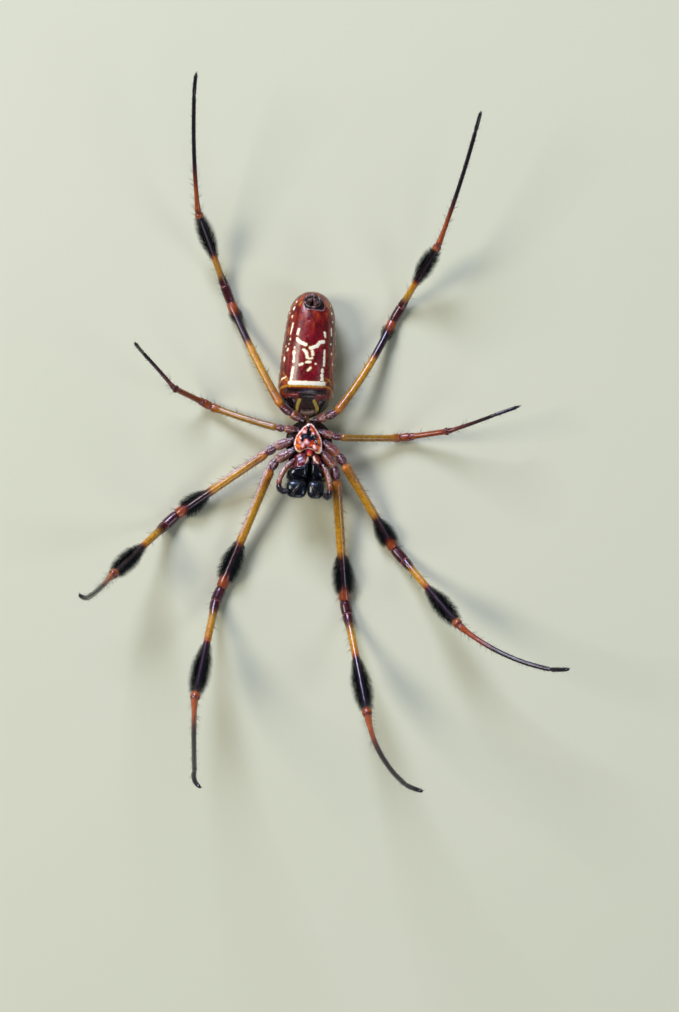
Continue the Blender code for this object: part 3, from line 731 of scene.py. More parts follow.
class Finish:
    """Something that makes one material."""

    name: str

    def made(self) -> Material:
        """The material, made once."""
        material = bpy.data.materials.get(self.name)
        if material is None:
            material = bpy.data.materials.new(self.name)
            material.use_nodes = True
            canvas = NodeCanvas(material.node_tree)
            self.paint(canvas, canvas.millimetres())
        return material

    def paint(self, canvas: NodeCanvas, place: Socket) -> None:
        """Feeds the shader, given the place in millimetres.

        Args:
            canvas: the material's canvas.
            place: the place in millimetres.
        """
        raise NotImplementedError

    @staticmethod
    def cover(
        canvas: NodeCanvas,
        place: Socket,
        colour: Socket,
        tone: Socket,
        roughness: float,
        layers: Sequence[PaintLayer],
    ) -> None:
        """Lays painted layers over a ground, and feeds the shader's colour and roughness.

        Args:
            canvas: the material's canvas.
            place: the place in millimetres.
            colour: the ground's colour.
            tone: the cuticle's unevenness.
            roughness: the ground's usual roughness.
            layers: the layers from below upwards.
        """
        rough = canvas.plus(canvas.times(tone, 0.2), roughness - 0.1)
        for layer in layers:
            distance = canvas.attribute(layer.label)
            shares = {"distance": distance, "place": place, "soft": layer.soft, "ragged": layer.ragged}
            mask = canvas.times(canvas.group(Effects.painted(), **shares)["Mask"], layer.strength)
            colour = canvas.mixed(mask, colour, layer.colour)
            if layer.roughness is not None:
                rough = canvas.plus(rough, canvas.times(mask, layer.roughness - roughness))
        canvas.shade(base_color=colour, roughness=rough)


SEGMENTS = ("coxa", "trochanter", "femur", "patella", "tibia", "metatarsus", "tarsus")

# The colours along a leg: segment number and share, counted from the hip.
BRUSHED_NEAR: Stops = (
    (0.0, "2a0d0a"), (0.12, "6e3010"), (0.7, "844010"), (0.8, "a8641a"), (0.93, "b8701c"),
    (1.0, "2c0806"), (1.1, "5a1c0a"), (1.8, "5c1e0c"), (1.93, "6a2410"), (2.0, "8a4210"),
    (2.02, "d0881a"), (2.06, "c07812"), (2.09, "ac720a"), (2.2, "c08e08"), (2.4, "d6a208"),
    (2.58, "d89e08"), (2.62, "8a5008"), (2.65, "301008"), (2.85, "1c0a0c"), (2.88, "5a1c0a"),
    (2.92, "a04c14"), (2.975, "a85214"), (2.995, "6a1c08"), (3.0, "2c0604"), (3.06, "4e1406"),
    (3.3, "4a1008"),
)
BRUSHED_FAR: Stops = (
    (3.5, "441008"), (3.94, "400e0a"), (3.96, "7a2008"), (3.985, "c08a8a"), (4.0, "7a1c08"),
    (4.02, "4a1008"), (4.08, "40120a"), (4.12, "8a5e10"), (4.17, "c89a2a"), (4.25, "d4a012"),
    (4.36, "d0900c"), (4.4, "b05e0a"), (4.425, "5c1e0e"), (4.45, "240a0a"), (4.92, "140a10"),
    (4.935, "6a260c"), (4.95, "ac601c"), (4.985, "9c4a10"), (4.998, "480e06"), (5.01, "8a3a0c"),
    (5.04, "b45a10"), (5.18, "a84c0a"), (5.36, "4a1808"), (5.45, "160808"), (7.0, "0a0808"),
)
PLAIN_NEAR: Stops = (
    (0.0, "2a0d0a"), (0.12, "6e3010"), (0.7, "844010"), (0.8, "a8641a"), (0.93, "b8701c"),
    (1.0, "2c0806"), (1.1, "5a1c0a"), (1.8, "5c1e0c"), (2.0, "8a4a10"), (2.04, "b08414"),
    (2.12, "987408"), (2.5, "a88210"), (2.85, "ac7a0c"), (2.93, "a8600c"), (2.97, "a4480a"),
    (3.0, "4a1408"), (3.06, "8a3c08"), (3.3, "98500a"),
)
PLAIN_FAR: Stops = (
    (3.5, "984c0a"), (3.94, "8a3408"), (4.0, "5a1608"), (4.06, "8a4008"), (4.3, "9c520a"),
    (4.7, "984808"), (4.92, "8a3406"), (5.0, "3a0f08"), (5.08, "7a2c08"), (5.4, "4a1a0a"),
    (5.8, "221010"), (7.0, "0e0a0e"),
)


@dataclass(frozen=True)
class LegFinish(Finish):
    """The banded, glossy skin of a leg, with pale down on the flank that faces the tail, partly a painted
    highlight.
    """

    name: str
    near: Stops
    far: Stops
    down_end: float  # along the leg, where the pale flank stops
    # The pale down is partly painted highlight, on the upper face of the hips and more on the left legs.
    down_share: float  # of the flank that is pale
    down_colour: str = "d6c8ce"
    socket_colour: str = "2a1408"
    grain_depth: float = 0.016

    def marking(self) -> Tree:
        """The colours along the leg."""
        return Effects.leg_marking(f"{self.name}_marking", self.near, self.far)

    def paint(self, canvas: NodeCanvas, place: Socket) -> None:
        """Feeds the shader."""
        bands = canvas.group(self.marking(), map=canvas.attribute(SKIN_MAP, "Vector"), place=place)
        skin = canvas.group(Effects.cuticle(), place=place, grain=10.0, pits=0.3)
        shade = canvas.mixed(canvas.rise(skin["Tone"], 0.3, 0.75), "d4c4b0", "ffffff")
        colour = canvas.mixed(1.0, bands["Color"], shade, "MULTIPLY")
        dots = canvas.group(Effects.speckle(), place=place, scale=1.5, size=0.15)
        colour = canvas.mixed(canvas.times(dots["Mask"], 0.6), colour, self.socket_colour)
        down = self._down(canvas, bands, place)
        canvas.shade(
            base_color=canvas.mixed(down, colour, self.down_colour),
            roughness=canvas.plus(canvas.times(skin["Tone"], 0.25), 0.2, canvas.times(down, 0.35)),
            coat_weight=0.7, coat_roughness=0.14, specular_tint="d0c8ff",
            subsurface_weight=0.08, subsurface_scale=0.0004,
        )
        canvas.bump(canvas.plus(skin["Height"], canvas.times(down, 1.2)), self.grain_depth)

    def _down(self, canvas: NodeCanvas, bands: Sequence[Socket], place: Socket) -> Socket:
        """The mask of the pale down, partly painted highlight: patchy, on the hips' upper face and the
        femur's rear flank.

        Args:
            canvas: the material's canvas.
            bands: the outputs of the leg's marking.
            place: the place in millimetres.

        Returns:
            The mask.
        """
        along, upward, rearward = [bands[name] for name in ("Along", "Upward", "Rearward")]
        facing = canvas.plus(canvas.times(upward, 0.75), canvas.times(rearward, 0.65))
        crown = canvas.less(1.0, canvas.times(canvas.rise(facing, 0.72, 0.95), 0.55))
        hip_face = canvas.times(canvas.rise(facing, 0.15, 0.6), canvas.times(crown, 0.85))
        flank = canvas.plus(canvas.times(upward, 0.5), canvas.times(rearward, 0.87))
        flank_face = canvas.times(canvas.rise(flank, 0.5, 0.9), self.down_share)
        flank_end = canvas.fall(along, self.down_end - 0.1, self.down_end)
        on_hip = canvas.times(canvas.fall(along, 1.75, 1.95), hip_face)
        cover = canvas.math("MAXIMUM", on_hip, canvas.times(flank_end, flank_face))
        need = canvas.less(0.82, canvas.times(cover, 0.4))
        patches = canvas.rise(canvas.noise(place, 5.2, 3.0), need, canvas.plus(need, 0.08))
        return canvas.times(patches, cover)


@dataclass(frozen=True)
class BristleFinish(Finish):
    """Stiff dark bristles with a cold gleam, or pale down, over the leg's own colours."""

    name: str
    colour: str
    gleam: str
    own_share: float  # of the bristle's own colour against the skin's at its root
    marking: Tree | None = None
    roughness: float = 0.35

    def paint(self, canvas: NodeCanvas, place: Socket) -> None:
        """Feeds the shader."""
        tone = canvas.attribute("tone")
        drift = canvas.rise(canvas.noise(place, 1.8, 2.0), 0.3, 0.7)
        own = canvas.mixed(tone, self.colour, self.gleam)
        own = canvas.mixed(canvas.times(drift, 0.5), own, self.colour)
        if self.marking:
            bands = canvas.group(self.marking, map=canvas.attribute(SKIN_MAP, "Vector"), place=place)
            share = canvas.times(canvas.fall(bands["Along"], 4.9, 5.2), self.own_share)
            own = canvas.mixed(share, bands["Color"], own)
        canvas.shade(
            base_color=own,
            roughness=canvas.plus(canvas.times(tone, 0.2), self.roughness),
            specular_tint=self.gleam, sheen_weight=0.02 if self.marking else 0.15,
            sheen_tint=self.gleam, sheen_roughness=0.4,
        )


@dataclass(frozen=True)
class PaintedFinish(Finish):
    """A glossy plate or skin whose ground is covered by painted layers."""

    name: str
    ground: Stops  # read by slow mottling
    layers: tuple[PaintLayer, ...] = ()
    stretch: Row = (1.0, 1.0, 1.0)  # of the mottling
    mottle: float = 1.2
    grain: float = 8.0
    pits: float = 0.4
    roughness: float = 0.28
    coat: float = 0.5
    specular: str = "ffffff"
    depth: float = 0.02
    scatter: float = 0.0

    def paint(self, canvas: NodeCanvas, place: Socket) -> None:
        """Feeds the shader."""
        streaks = canvas.noise(canvas.stretched(place, self.stretch), self.mottle, 4.0)
        colour = canvas.ramp(canvas.rise(streaks, 0.28, 0.72), self.ground)
        skin = canvas.group(Effects.cuticle(), place=place, grain=self.grain, pits=self.pits)
        self.cover(canvas, place, colour, skin["Tone"], self.roughness, self.layers)
        canvas.shade(
            coat_weight=self.coat, coat_roughness=0.12, specular_tint=self.specular,
            subsurface_weight=self.scatter, subsurface_scale=0.0006,
        )
        canvas.bump(skin["Height"], self.depth)


@dataclass(frozen=True)
class EyeFinish(Finish):
    """A clear black lens with an amber glow towards its rim."""

    name: str = "eye_lens"

    def paint(self, canvas: NodeCanvas, place: Socket) -> None:
        """Feeds the shader."""
        depth = canvas.rise(canvas.attribute("rim"), 0.55, 1.0)
        cloud = canvas.rise(canvas.noise(place, 6.0, 3.0), 0.3, 0.7)
        core = canvas.mixed(cloud, "050304", "100808")
        rough = canvas.plus(canvas.times(cloud, 0.04), 0.03)
        canvas.shade(base_color=canvas.mixed(depth, core, "4a240c"), roughness=rough)
        canvas.shade(coat_weight=1.0, coat_roughness=0.02, ior=1.55)


@dataclass(frozen=True)
class FloorFinish(Finish):
    """A plain pale matt floor."""

    name: str = "pale_floor"

    def paint(self, canvas: NodeCanvas, place: Socket) -> None:
        """Feeds the shader."""
        colour = canvas.mixed(canvas.noise(place, 0.02, 3.0), "cfd5ba", "d6dac4")
        grain = canvas.noise(place, 3.0, 4.0)
        canvas.shade(base_color=colour, roughness=canvas.plus(0.8, canvas.times(grain, 0.1)))
        canvas.bump(grain, 0.01)


@dataclass(frozen=True)
class Coat:
    """How one kind of bristle grows."""

    label: str  # of the attributes that hold its mask and its length
    density: float  # to a square millimetre
    slenderness: float  # root radius for a bristle of length one
    bend: float
    rise: float  # along the skin's normal
    lean: float  # along the lie
    scatter: float
    clump: float
    rings: int
    seed: int


class CoatTree:
    """The geometry tree that grows bent, tapered bristles from a skin."""

    PATCH = 0.003
    FLOOR_GAP = 0.00003
    SIDES = 3
    AMOUNTS = ("Density", "Slenderness", "Bend", "Rise", "Lean", "Scatter", "Clump")

    def __init__(self) -> None:
        """Builds the tree once."""
        self.canvas = NodeCanvas(bpy.data.node_groups.new("bristle_coat", "GeometryNodeTree"))
        kinds = {"Skin": "Geometry", "Mask": "String", "Length": "String"}
        kinds |= dict.fromkeys(self.AMOUNTS, "Float")
        kinds |= {"Rings": "Int", "Seed": "Int", "Finish": "Material"}
        self.sockets = {
            label: self.canvas.opened(label, "INPUT", kind).identifier for label, kind in kinds.items()
        }
        self.canvas.opened("Coat", "OUTPUT", "Geometry")
        self.entry = self.canvas.add("NodeGroupInput").outputs
        self.canvas.add("NodeGroupOutput", {0: self._planted()})

    def _named(self, name: object, kind: str = "FLOAT") -> Socket:
        """A value that the mesh carries under that name."""
        node = self.canvas.add("GeometryNodeInputNamedAttribute", {"Name": name}, data_type=kind)
        return self.canvas.live(node.outputs, "Attribute")

    def _kept(self, geometry: Socket, name: str, value: Socket, kind: str, domain: str = "POINT") -> Socket:
        """The geometry with a value stored under a name."""
        inputs = {"Geometry": geometry, "Name": name, "Value": value}
        return self._geometry("StoreNamedAttribute", inputs, data_type=kind, domain=domain)

    def _random(self, kind: str, low: object, high: object, seed: object) -> Socket:
        """A random value for each root.

        Args:
            kind: its data type.
            low: the smallest.
            high: the largest.
            seed: what it is drawn from.

        Returns:
            The value.
        """
        inputs = {"Min": low, "Max": high, "Seed": seed}
        node = self.canvas.add("FunctionNodeRandomValue", inputs, data_type=kind)
        return self.canvas.live(node.outputs, "Value")

    def _geometry(self, kind: str, inputs: dict[int | str, object], **settings: object) -> Socket:
        """The geometry that a node gives first."""
        return self.canvas.add(f"GeometryNode{kind}", inputs, **settings).outputs[0]

    def _position(self) -> Socket:
        """The place of each point."""
        return self.canvas.add("GeometryNodeInputPosition").outputs[0]

    def _roots(self) -> tuple[Socket, Socket]:
        """The roots, scattered over the skin as thickly as its mask says, and their normals."""
        density = self.canvas.times(self._named(self.entry["Mask"]), self.entry["Density"])
        inputs = {"Mesh": self.entry["Skin"], "Density": density, "Seed": self.entry["Seed"]}
        scattered = self.canvas.add("GeometryNodeDistributePointsOnFaces", inputs).outputs
        tone = self._random("FLOAT", 0.0, 1.0, self.entry["Seed"])
        return self._kept(scattered["Points"], "tone", tone, "FLOAT"), scattered["Normal"]

    def _bristle(self) -> Socket:
        """One bristle of length one, bent along its first axis."""
        canvas = self.canvas
        inputs = {
            "Vertices": self.SIDES, "Side Segments": self.entry["Rings"], "Radius Top": 0.0,
            "Radius Bottom": self.entry["Slenderness"], "Depth": 1.0,
        }
        cone = self._geometry("MeshCone", inputs, fill_type="NGON")
        x, _, z = canvas.parts(self._position())
        share = canvas.times(canvas.plus(canvas.math("DIVIDE", x, self.entry["Slenderness"]), 1.0), 0.5)
        patch = canvas.scaled(canvas.vector(share, z), self.PATCH)
        marked = self._kept(cone, "patch", patch, "FLOAT_VECTOR")
        offset = canvas.vector(canvas.times(z, z, self.entry["Bend"]))
        return self._geometry("SetPosition", {"Geometry": marked, "Offset": offset})

    def _planted(self) -> Socket:
        """The bristles on their roots, turned to their lie, realized, above the floor and mapped."""
        canvas = self.canvas
        entry = self.entry
        roots, normal = self._roots()
        lie = self._named("lie", "FLOAT_VECTOR")
        stray = self._random("FLOAT_VECTOR", (-1.0,) * 3, (1.0,) * 3, entry["Seed"])
        inputs = {"Vector": self._position(), "Scale": 2600.0}
        wave = canvas.add("ShaderNodeTexNoise", inputs).outputs["Color"]
        wave = canvas.vector_math("SUBTRACT", {0: wave, 1: (0.5, 0.5, 0.5)})
        way = canvas.scaled(normal, entry["Rise"])
        for part, amount in ((lie, "Lean"), (stray, "Scatter"), (wave, "Clump")):
            way = canvas.vector_math("ADD", {0: way, 1: canvas.scaled(part, entry[amount])})
        upright = canvas.add("FunctionNodeAlignRotationToVector", {"Vector": way}, axis="Z")
        inputs = {"Rotation": upright.outputs[0], "Vector": lie}
        turn = canvas.add("FunctionNodeAlignRotationToVector", inputs, axis="X", pivot_axis="Z")
        uneven = self._random("FLOAT", 0.7, 1.05, canvas.plus(entry["Seed"], 1.0))
        length = canvas.times(self._named(entry["Length"]), uneven)
        inputs = {
            "Points": roots, "Instance": self._bristle(), "Rotation": turn.outputs[0],
            "Scale": canvas.vector(length, length, length),
        }
        coat = self._geometry("RealizeInstances", {0: self._geometry("InstanceOnPoints", inputs)})
        x, y, z = canvas.parts(self._position())
        above = canvas.vector(x, y, canvas.math("MAXIMUM", z, self.FLOOR_GAP))
        coat = self._geometry("SetPosition", {"Geometry": coat, "Position": above})
        root_map = canvas.scaled(self._named(SKIN_MAP, "FLOAT_VECTOR"), 1 - 2 * self.PATCH)
        spot = canvas.vector_math("ADD", {0: root_map, 1: self._named("patch", "FLOAT_VECTOR")})
        coat = self._kept(coat, BAKE_MAP, spot, "FLOAT2", "CORNER")
        return self._geometry("SetMaterial", {"Geometry": coat, "Material": entry["Finish"]})

    def grow(self, skin: Object, coat: Coat, finish: Material, name: str, slot: Slot) -> None:
        """Grows a coat on a skin as a piece of its own.

        Args:
            skin: the piece that carries the coat's mask and length.
            coat: how the bristles grow.
            finish: their material.
            name: the new piece's name.
            slot: not used.
        """
        holder = placed(f"{name}_holder", skin.data)
        grower = holder.modifiers.new("coat", "NODES")
        grower.node_group = self.canvas.tree
        values = {label.title(): value for label, value in asdict(coat).items() if label != "label"}
        values |= {
            "Mask": coat.label, "Length": f"{coat.label}_length", "Finish": finish,
            "Density": coat.density / METRES_PER_MM**2,
        }
        for label, value in values.items():
            grower[self.sockets[label]] = value
        depsgraph = bpy.context.evaluated_depsgraph_get()
        mesh = bpy.data.meshes.new_from_object(
            holder.evaluated_get(depsgraph), preserve_all_data_layers=True, depsgraph=depsgraph
        )
        bpy.data.objects.remove(holder, do_unlink=True)
        kept = {"tone", SKIN_MAP, BAKE_MAP, "position"}
        for attribute in list(mesh.attributes):
            if attribute.name not in kept and not attribute.is_internal and not attribute.is_required:
                mesh.attributes.remove(attribute)
        mesh.name = name
        declared(name, mesh, finish)


@dataclass(frozen=True)
class Reach:
    """A leg segment: its length, and its heading and rise at its start and at its end."""

    length: float
    heading: float
    rise: float
    end_heading: float | None = None
    end_rise: float | None = None

    def at(self, share: float) -> Array:
        """The direction at a share of the segment."""
        last_heading = self.heading if self.end_heading is None else self.end_heading
        last_rise = self.rise if self.end_rise is None else self.end_rise
        heading = self.heading + (last_heading - self.heading) * share
        return direction(heading, self.rise + (last_rise - self.rise) * share)


LEGS: dict[str, tuple[Row, tuple[Reach, ...]]] = {
    "leg_1_left": (
        (-2.5, -14.7, 4.4),
        (
            Reach(2.6, -150, -4), Reach(1.5, -123.5, -6), Reach(19.1, -112.7, -10.4),
            Reach(2.2, -112.5, 12), Reach(17.2, -101, 31, end_rise=39),
            Reach(17.8, -89, 53, -83, 65), Reach(3.6, -110, 64, -30, 34),
        ),
    ),
    "leg_1_right": (
        (2.1, -15.0, 4.4),
        (
            Reach(2.5, -52, -4), Reach(1.9, -80.5, -8), Reach(18.1, -86, -10.9),
            Reach(2.0, -78.5, 12), Reach(17.2, -78.5, 28, end_rise=36),
            Reach(17.8, -81, 47, -35, 61), Reach(3.6, -22, 60, -12, 40),
        ),
    ),
    "leg_2_left": (
        (-2.6, -13.2, 4.4),
        (
            Reach(2.5, -159.5, -4), Reach(1.5, -145.5, -6), Reach(16.3, -145.7, -12.5),
            Reach(2.4, -137.5, 14), Reach(14.8, -135, 43, end_rise=51),
            Reach(15.4, -123, 68, -143, 84), Reach(3.3, -173, 87, -233, 57),
        ),
    ),
    "leg_2_right": (
        (2.4, -13.6, 4.4),
        (
            Reach(2.5, -41, -4), Reach(1.5, -57.5, -6), Reach(14.8, -59.5, -13.5),
            Reach(2.4, -48.5, 14), Reach(14.8, -50, 32, end_rise=40),
            Reach(15.4, -40, 17, -10, 27), Reach(3.3, -1, 48, 7, 38),
        ),
    ),
    "leg_3_left": (
        (-1.9, -11.6, 4.4),
        (
            Reach(1.7, 173.5, -4), Reach(1.15, 172.5, -6), Reach(10.6, 165, -17, 159, -17),
            Reach(1.4, 152, 12), Reach(6.2, 154.5, 42, end_rise=48),
            Reach(7.9, 129, 31, 133, 37), Reach(3.4, 127.5, 67, end_rise=57),
        ),
    ),
    "leg_3_right": (
        (1.8, -11.95, 4.4),
        (
            Reach(1.7, -17.5, -4), Reach(1.25, -11.5, -6), Reach(9.2, -2, -20, 2, -20),
            Reach(1.5, 6, 10), Reach(6.2, 8, 22, end_rise=28),
            Reach(7.9, 17, 28, 21, 34), Reach(3.75, 19.5, 5, end_rise=-5),
        ),
    ),
    "leg_4_left": (
        (-1.2, -10.05, 4.5),
        (
            Reach(1.7, 150, 14), Reach(1.75, 142.5, 16), Reach(17.7, 120, -16.5, 112, -15.5),
            Reach(2.7, 110.5, 10), Reach(12.3, 109.5, 26, end_rise=32),
            Reach(17.6, 95, 23.5, 87, 23.5), Reach(3.3, 87, 32, 79, 24),
        ),
    ),
    "leg_4_right": (
        (1.2, -10.1, 4.5),
        (
            Reach(1.45, 16.5, 14), Reach(1.6, 22, 16), Reach(16.7, 51.5, -17.5, 65.5, -16.5),
            Reach(2.4, 59, 12), Reach(12.3, 58.5, 33, end_rise=39),
            Reach(17.6, 69, 20, 75, 20), Reach(3.3, 75, 42, end_rise=34),
        ),
    ),
}

# Radii along each segment, as share of its length and radius, for the first pair.
GIRTH: dict[str, tuple[Row, ...]] = {
    "coxa": ((0, 0.5), (0.3, 0.68), (0.62, 0.76), (0.9, 0.72), (1, 0.62)),
    "trochanter": ((0, 0.56), (0.15, 0.68), (0.55, 0.72), (1, 0.6)),
    "femur": (
        (0, 0.6), (0.03, 0.74), (0.1, 0.72), (0.4, 0.66), (0.75, 0.65), (0.87, 0.68),
        (0.92, 0.8), (0.96, 0.86), (0.985, 0.85), (1, 0.78),
    ),
    "patella": ((0, 0.76), (0.3, 0.81), (0.75, 0.82), (1, 0.8)),
    "tibia": (
        (0, 0.78), (0.04, 0.76), (0.13, 0.58), (0.45, 0.55), (0.84, 0.56), (0.91, 0.6),
        (0.94, 0.72), (0.965, 0.76), (0.985, 0.72), (1, 0.6),
    ),
    "metatarsus": (
        (0, 0.56), (0.03, 0.52), (0.12, 0.4), (0.3, 0.37), (0.5, 0.35), (0.68, 0.34),
        (0.97, 0.34), (1, 0.3),
    ),
    "tarsus": ((0, 0.3), (0.08, 0.34), (0.4, 0.33), (0.7, 0.31), (0.92, 0.26), (1, 0.14)),
}
PAIR_GIRTH = {"1": 1.0, "2": 0.97, "3": 0.76, "4": 0.85}


@dataclass(frozen=True)
class Brush:
    """The share of a segment that a brush covers, and how far it stands out."""

    segment: str
    start: float
    end: float
    stand: float


BRUSHES: dict[str, tuple[Brush, ...]] = {
    "1": (Brush("femur", 0.62, 0.93, 1.4), Brush("tibia", 0.43, 0.93, 1.35)),
    "2": (Brush("femur", 0.66, 0.93, 1.25), Brush("tibia", 0.42, 0.93, 1.35)),
    "3": (),
    "4": (Brush("femur", 0.8, 0.93, 0.7), Brush("tibia", 0.36, 0.93, 1.2)),
}

BRUSH_COAT = Coat("brush", 88.0, 0.019, 0.1, 1.0, 0.62, 0.16, 0.25, 3, 11)
SETA_COAT = Coat("seta", 1.3, 0.024, -0.1, 0.9, 0.75, 0.2, 0.0, 3, 23)
DOWN_COAT = Coat("down", 34.0, 0.05, -0.12, 0.32, 1.0, 0.22, 0.5, 2, 37)


class LegLine:
    """The centre line of one leg, with its bends rounded, and a frame at any distance along it."""

    STEP = 0.1
    SOFTNESS = 0.45
    SAMPLES = 9

    def __init__(self, root: Row, segments: Sequence[Reach]) -> None:
        """Walks the seven segments from the root and notes where each one starts.

        Args:
            root: where the leg begins.
            segments: its seven segments.
        """
        points = [np.array(root, float)]
        self.starts: list[float] = []
        for segment in segments:
            self.starts.append((len(points) - 1) * self.STEP)
            steps = max(1, round(segment.length / self.STEP))
            for step in range(steps):
                points.append(points[-1] + segment.at((step + 0.5) / steps) * self.STEP)
        self.points = np.array(points)
        self.length = (len(points) - 1) * self.STEP
        self.starts.append(self.length)
        places = np.arange(len(points)) * self.STEP
        tangents = self.tangent(places)
        self.sides = carried_sides(unit(np.cross(tangents[0], (0.0, 0.0, 1.0))), tangents)

    def raw(self, places: Array) -> Array:
        """The unrounded line, which runs straight on past both ends."""
        steps = places / self.STEP
        low = np.clip(np.floor(steps).astype(int), 0, len(self.points) - 2)
        share = (steps - low)[:, None]
        return self.points[low] * (1 - share) + self.points[low + 1] * share

    def centre(self, places: Array) -> Array:
        """The rounded line: a mean over the softness of a joint."""
        shifts = np.linspace(-self.SOFTNESS, self.SOFTNESS, self.SAMPLES)
        return np.mean([self.raw(places + shift) for shift in shifts], axis=0)

    def tangent(self, places: Array) -> Array:
        """The direction of the rounded line."""
        return unit(self.raw(places + self.SOFTNESS) - self.raw(places - self.SOFTNESS))

    def frames(self, places: Array) -> tuple[Array, Array, Array, Array]:
        """Centres, tangents, sideways vectors and upward vectors at distances."""
        index = np.clip(np.round(places / self.STEP).astype(int), 0, len(self.sides) - 1)
        tangents = self.tangent(places)
        sides = self.sides[index]
        sides = unit(sides - tangents * np.sum(sides * tangents, axis=1, keepdims=True))
        return self.centre(places), tangents, sides, np.cross(sides, tangents)


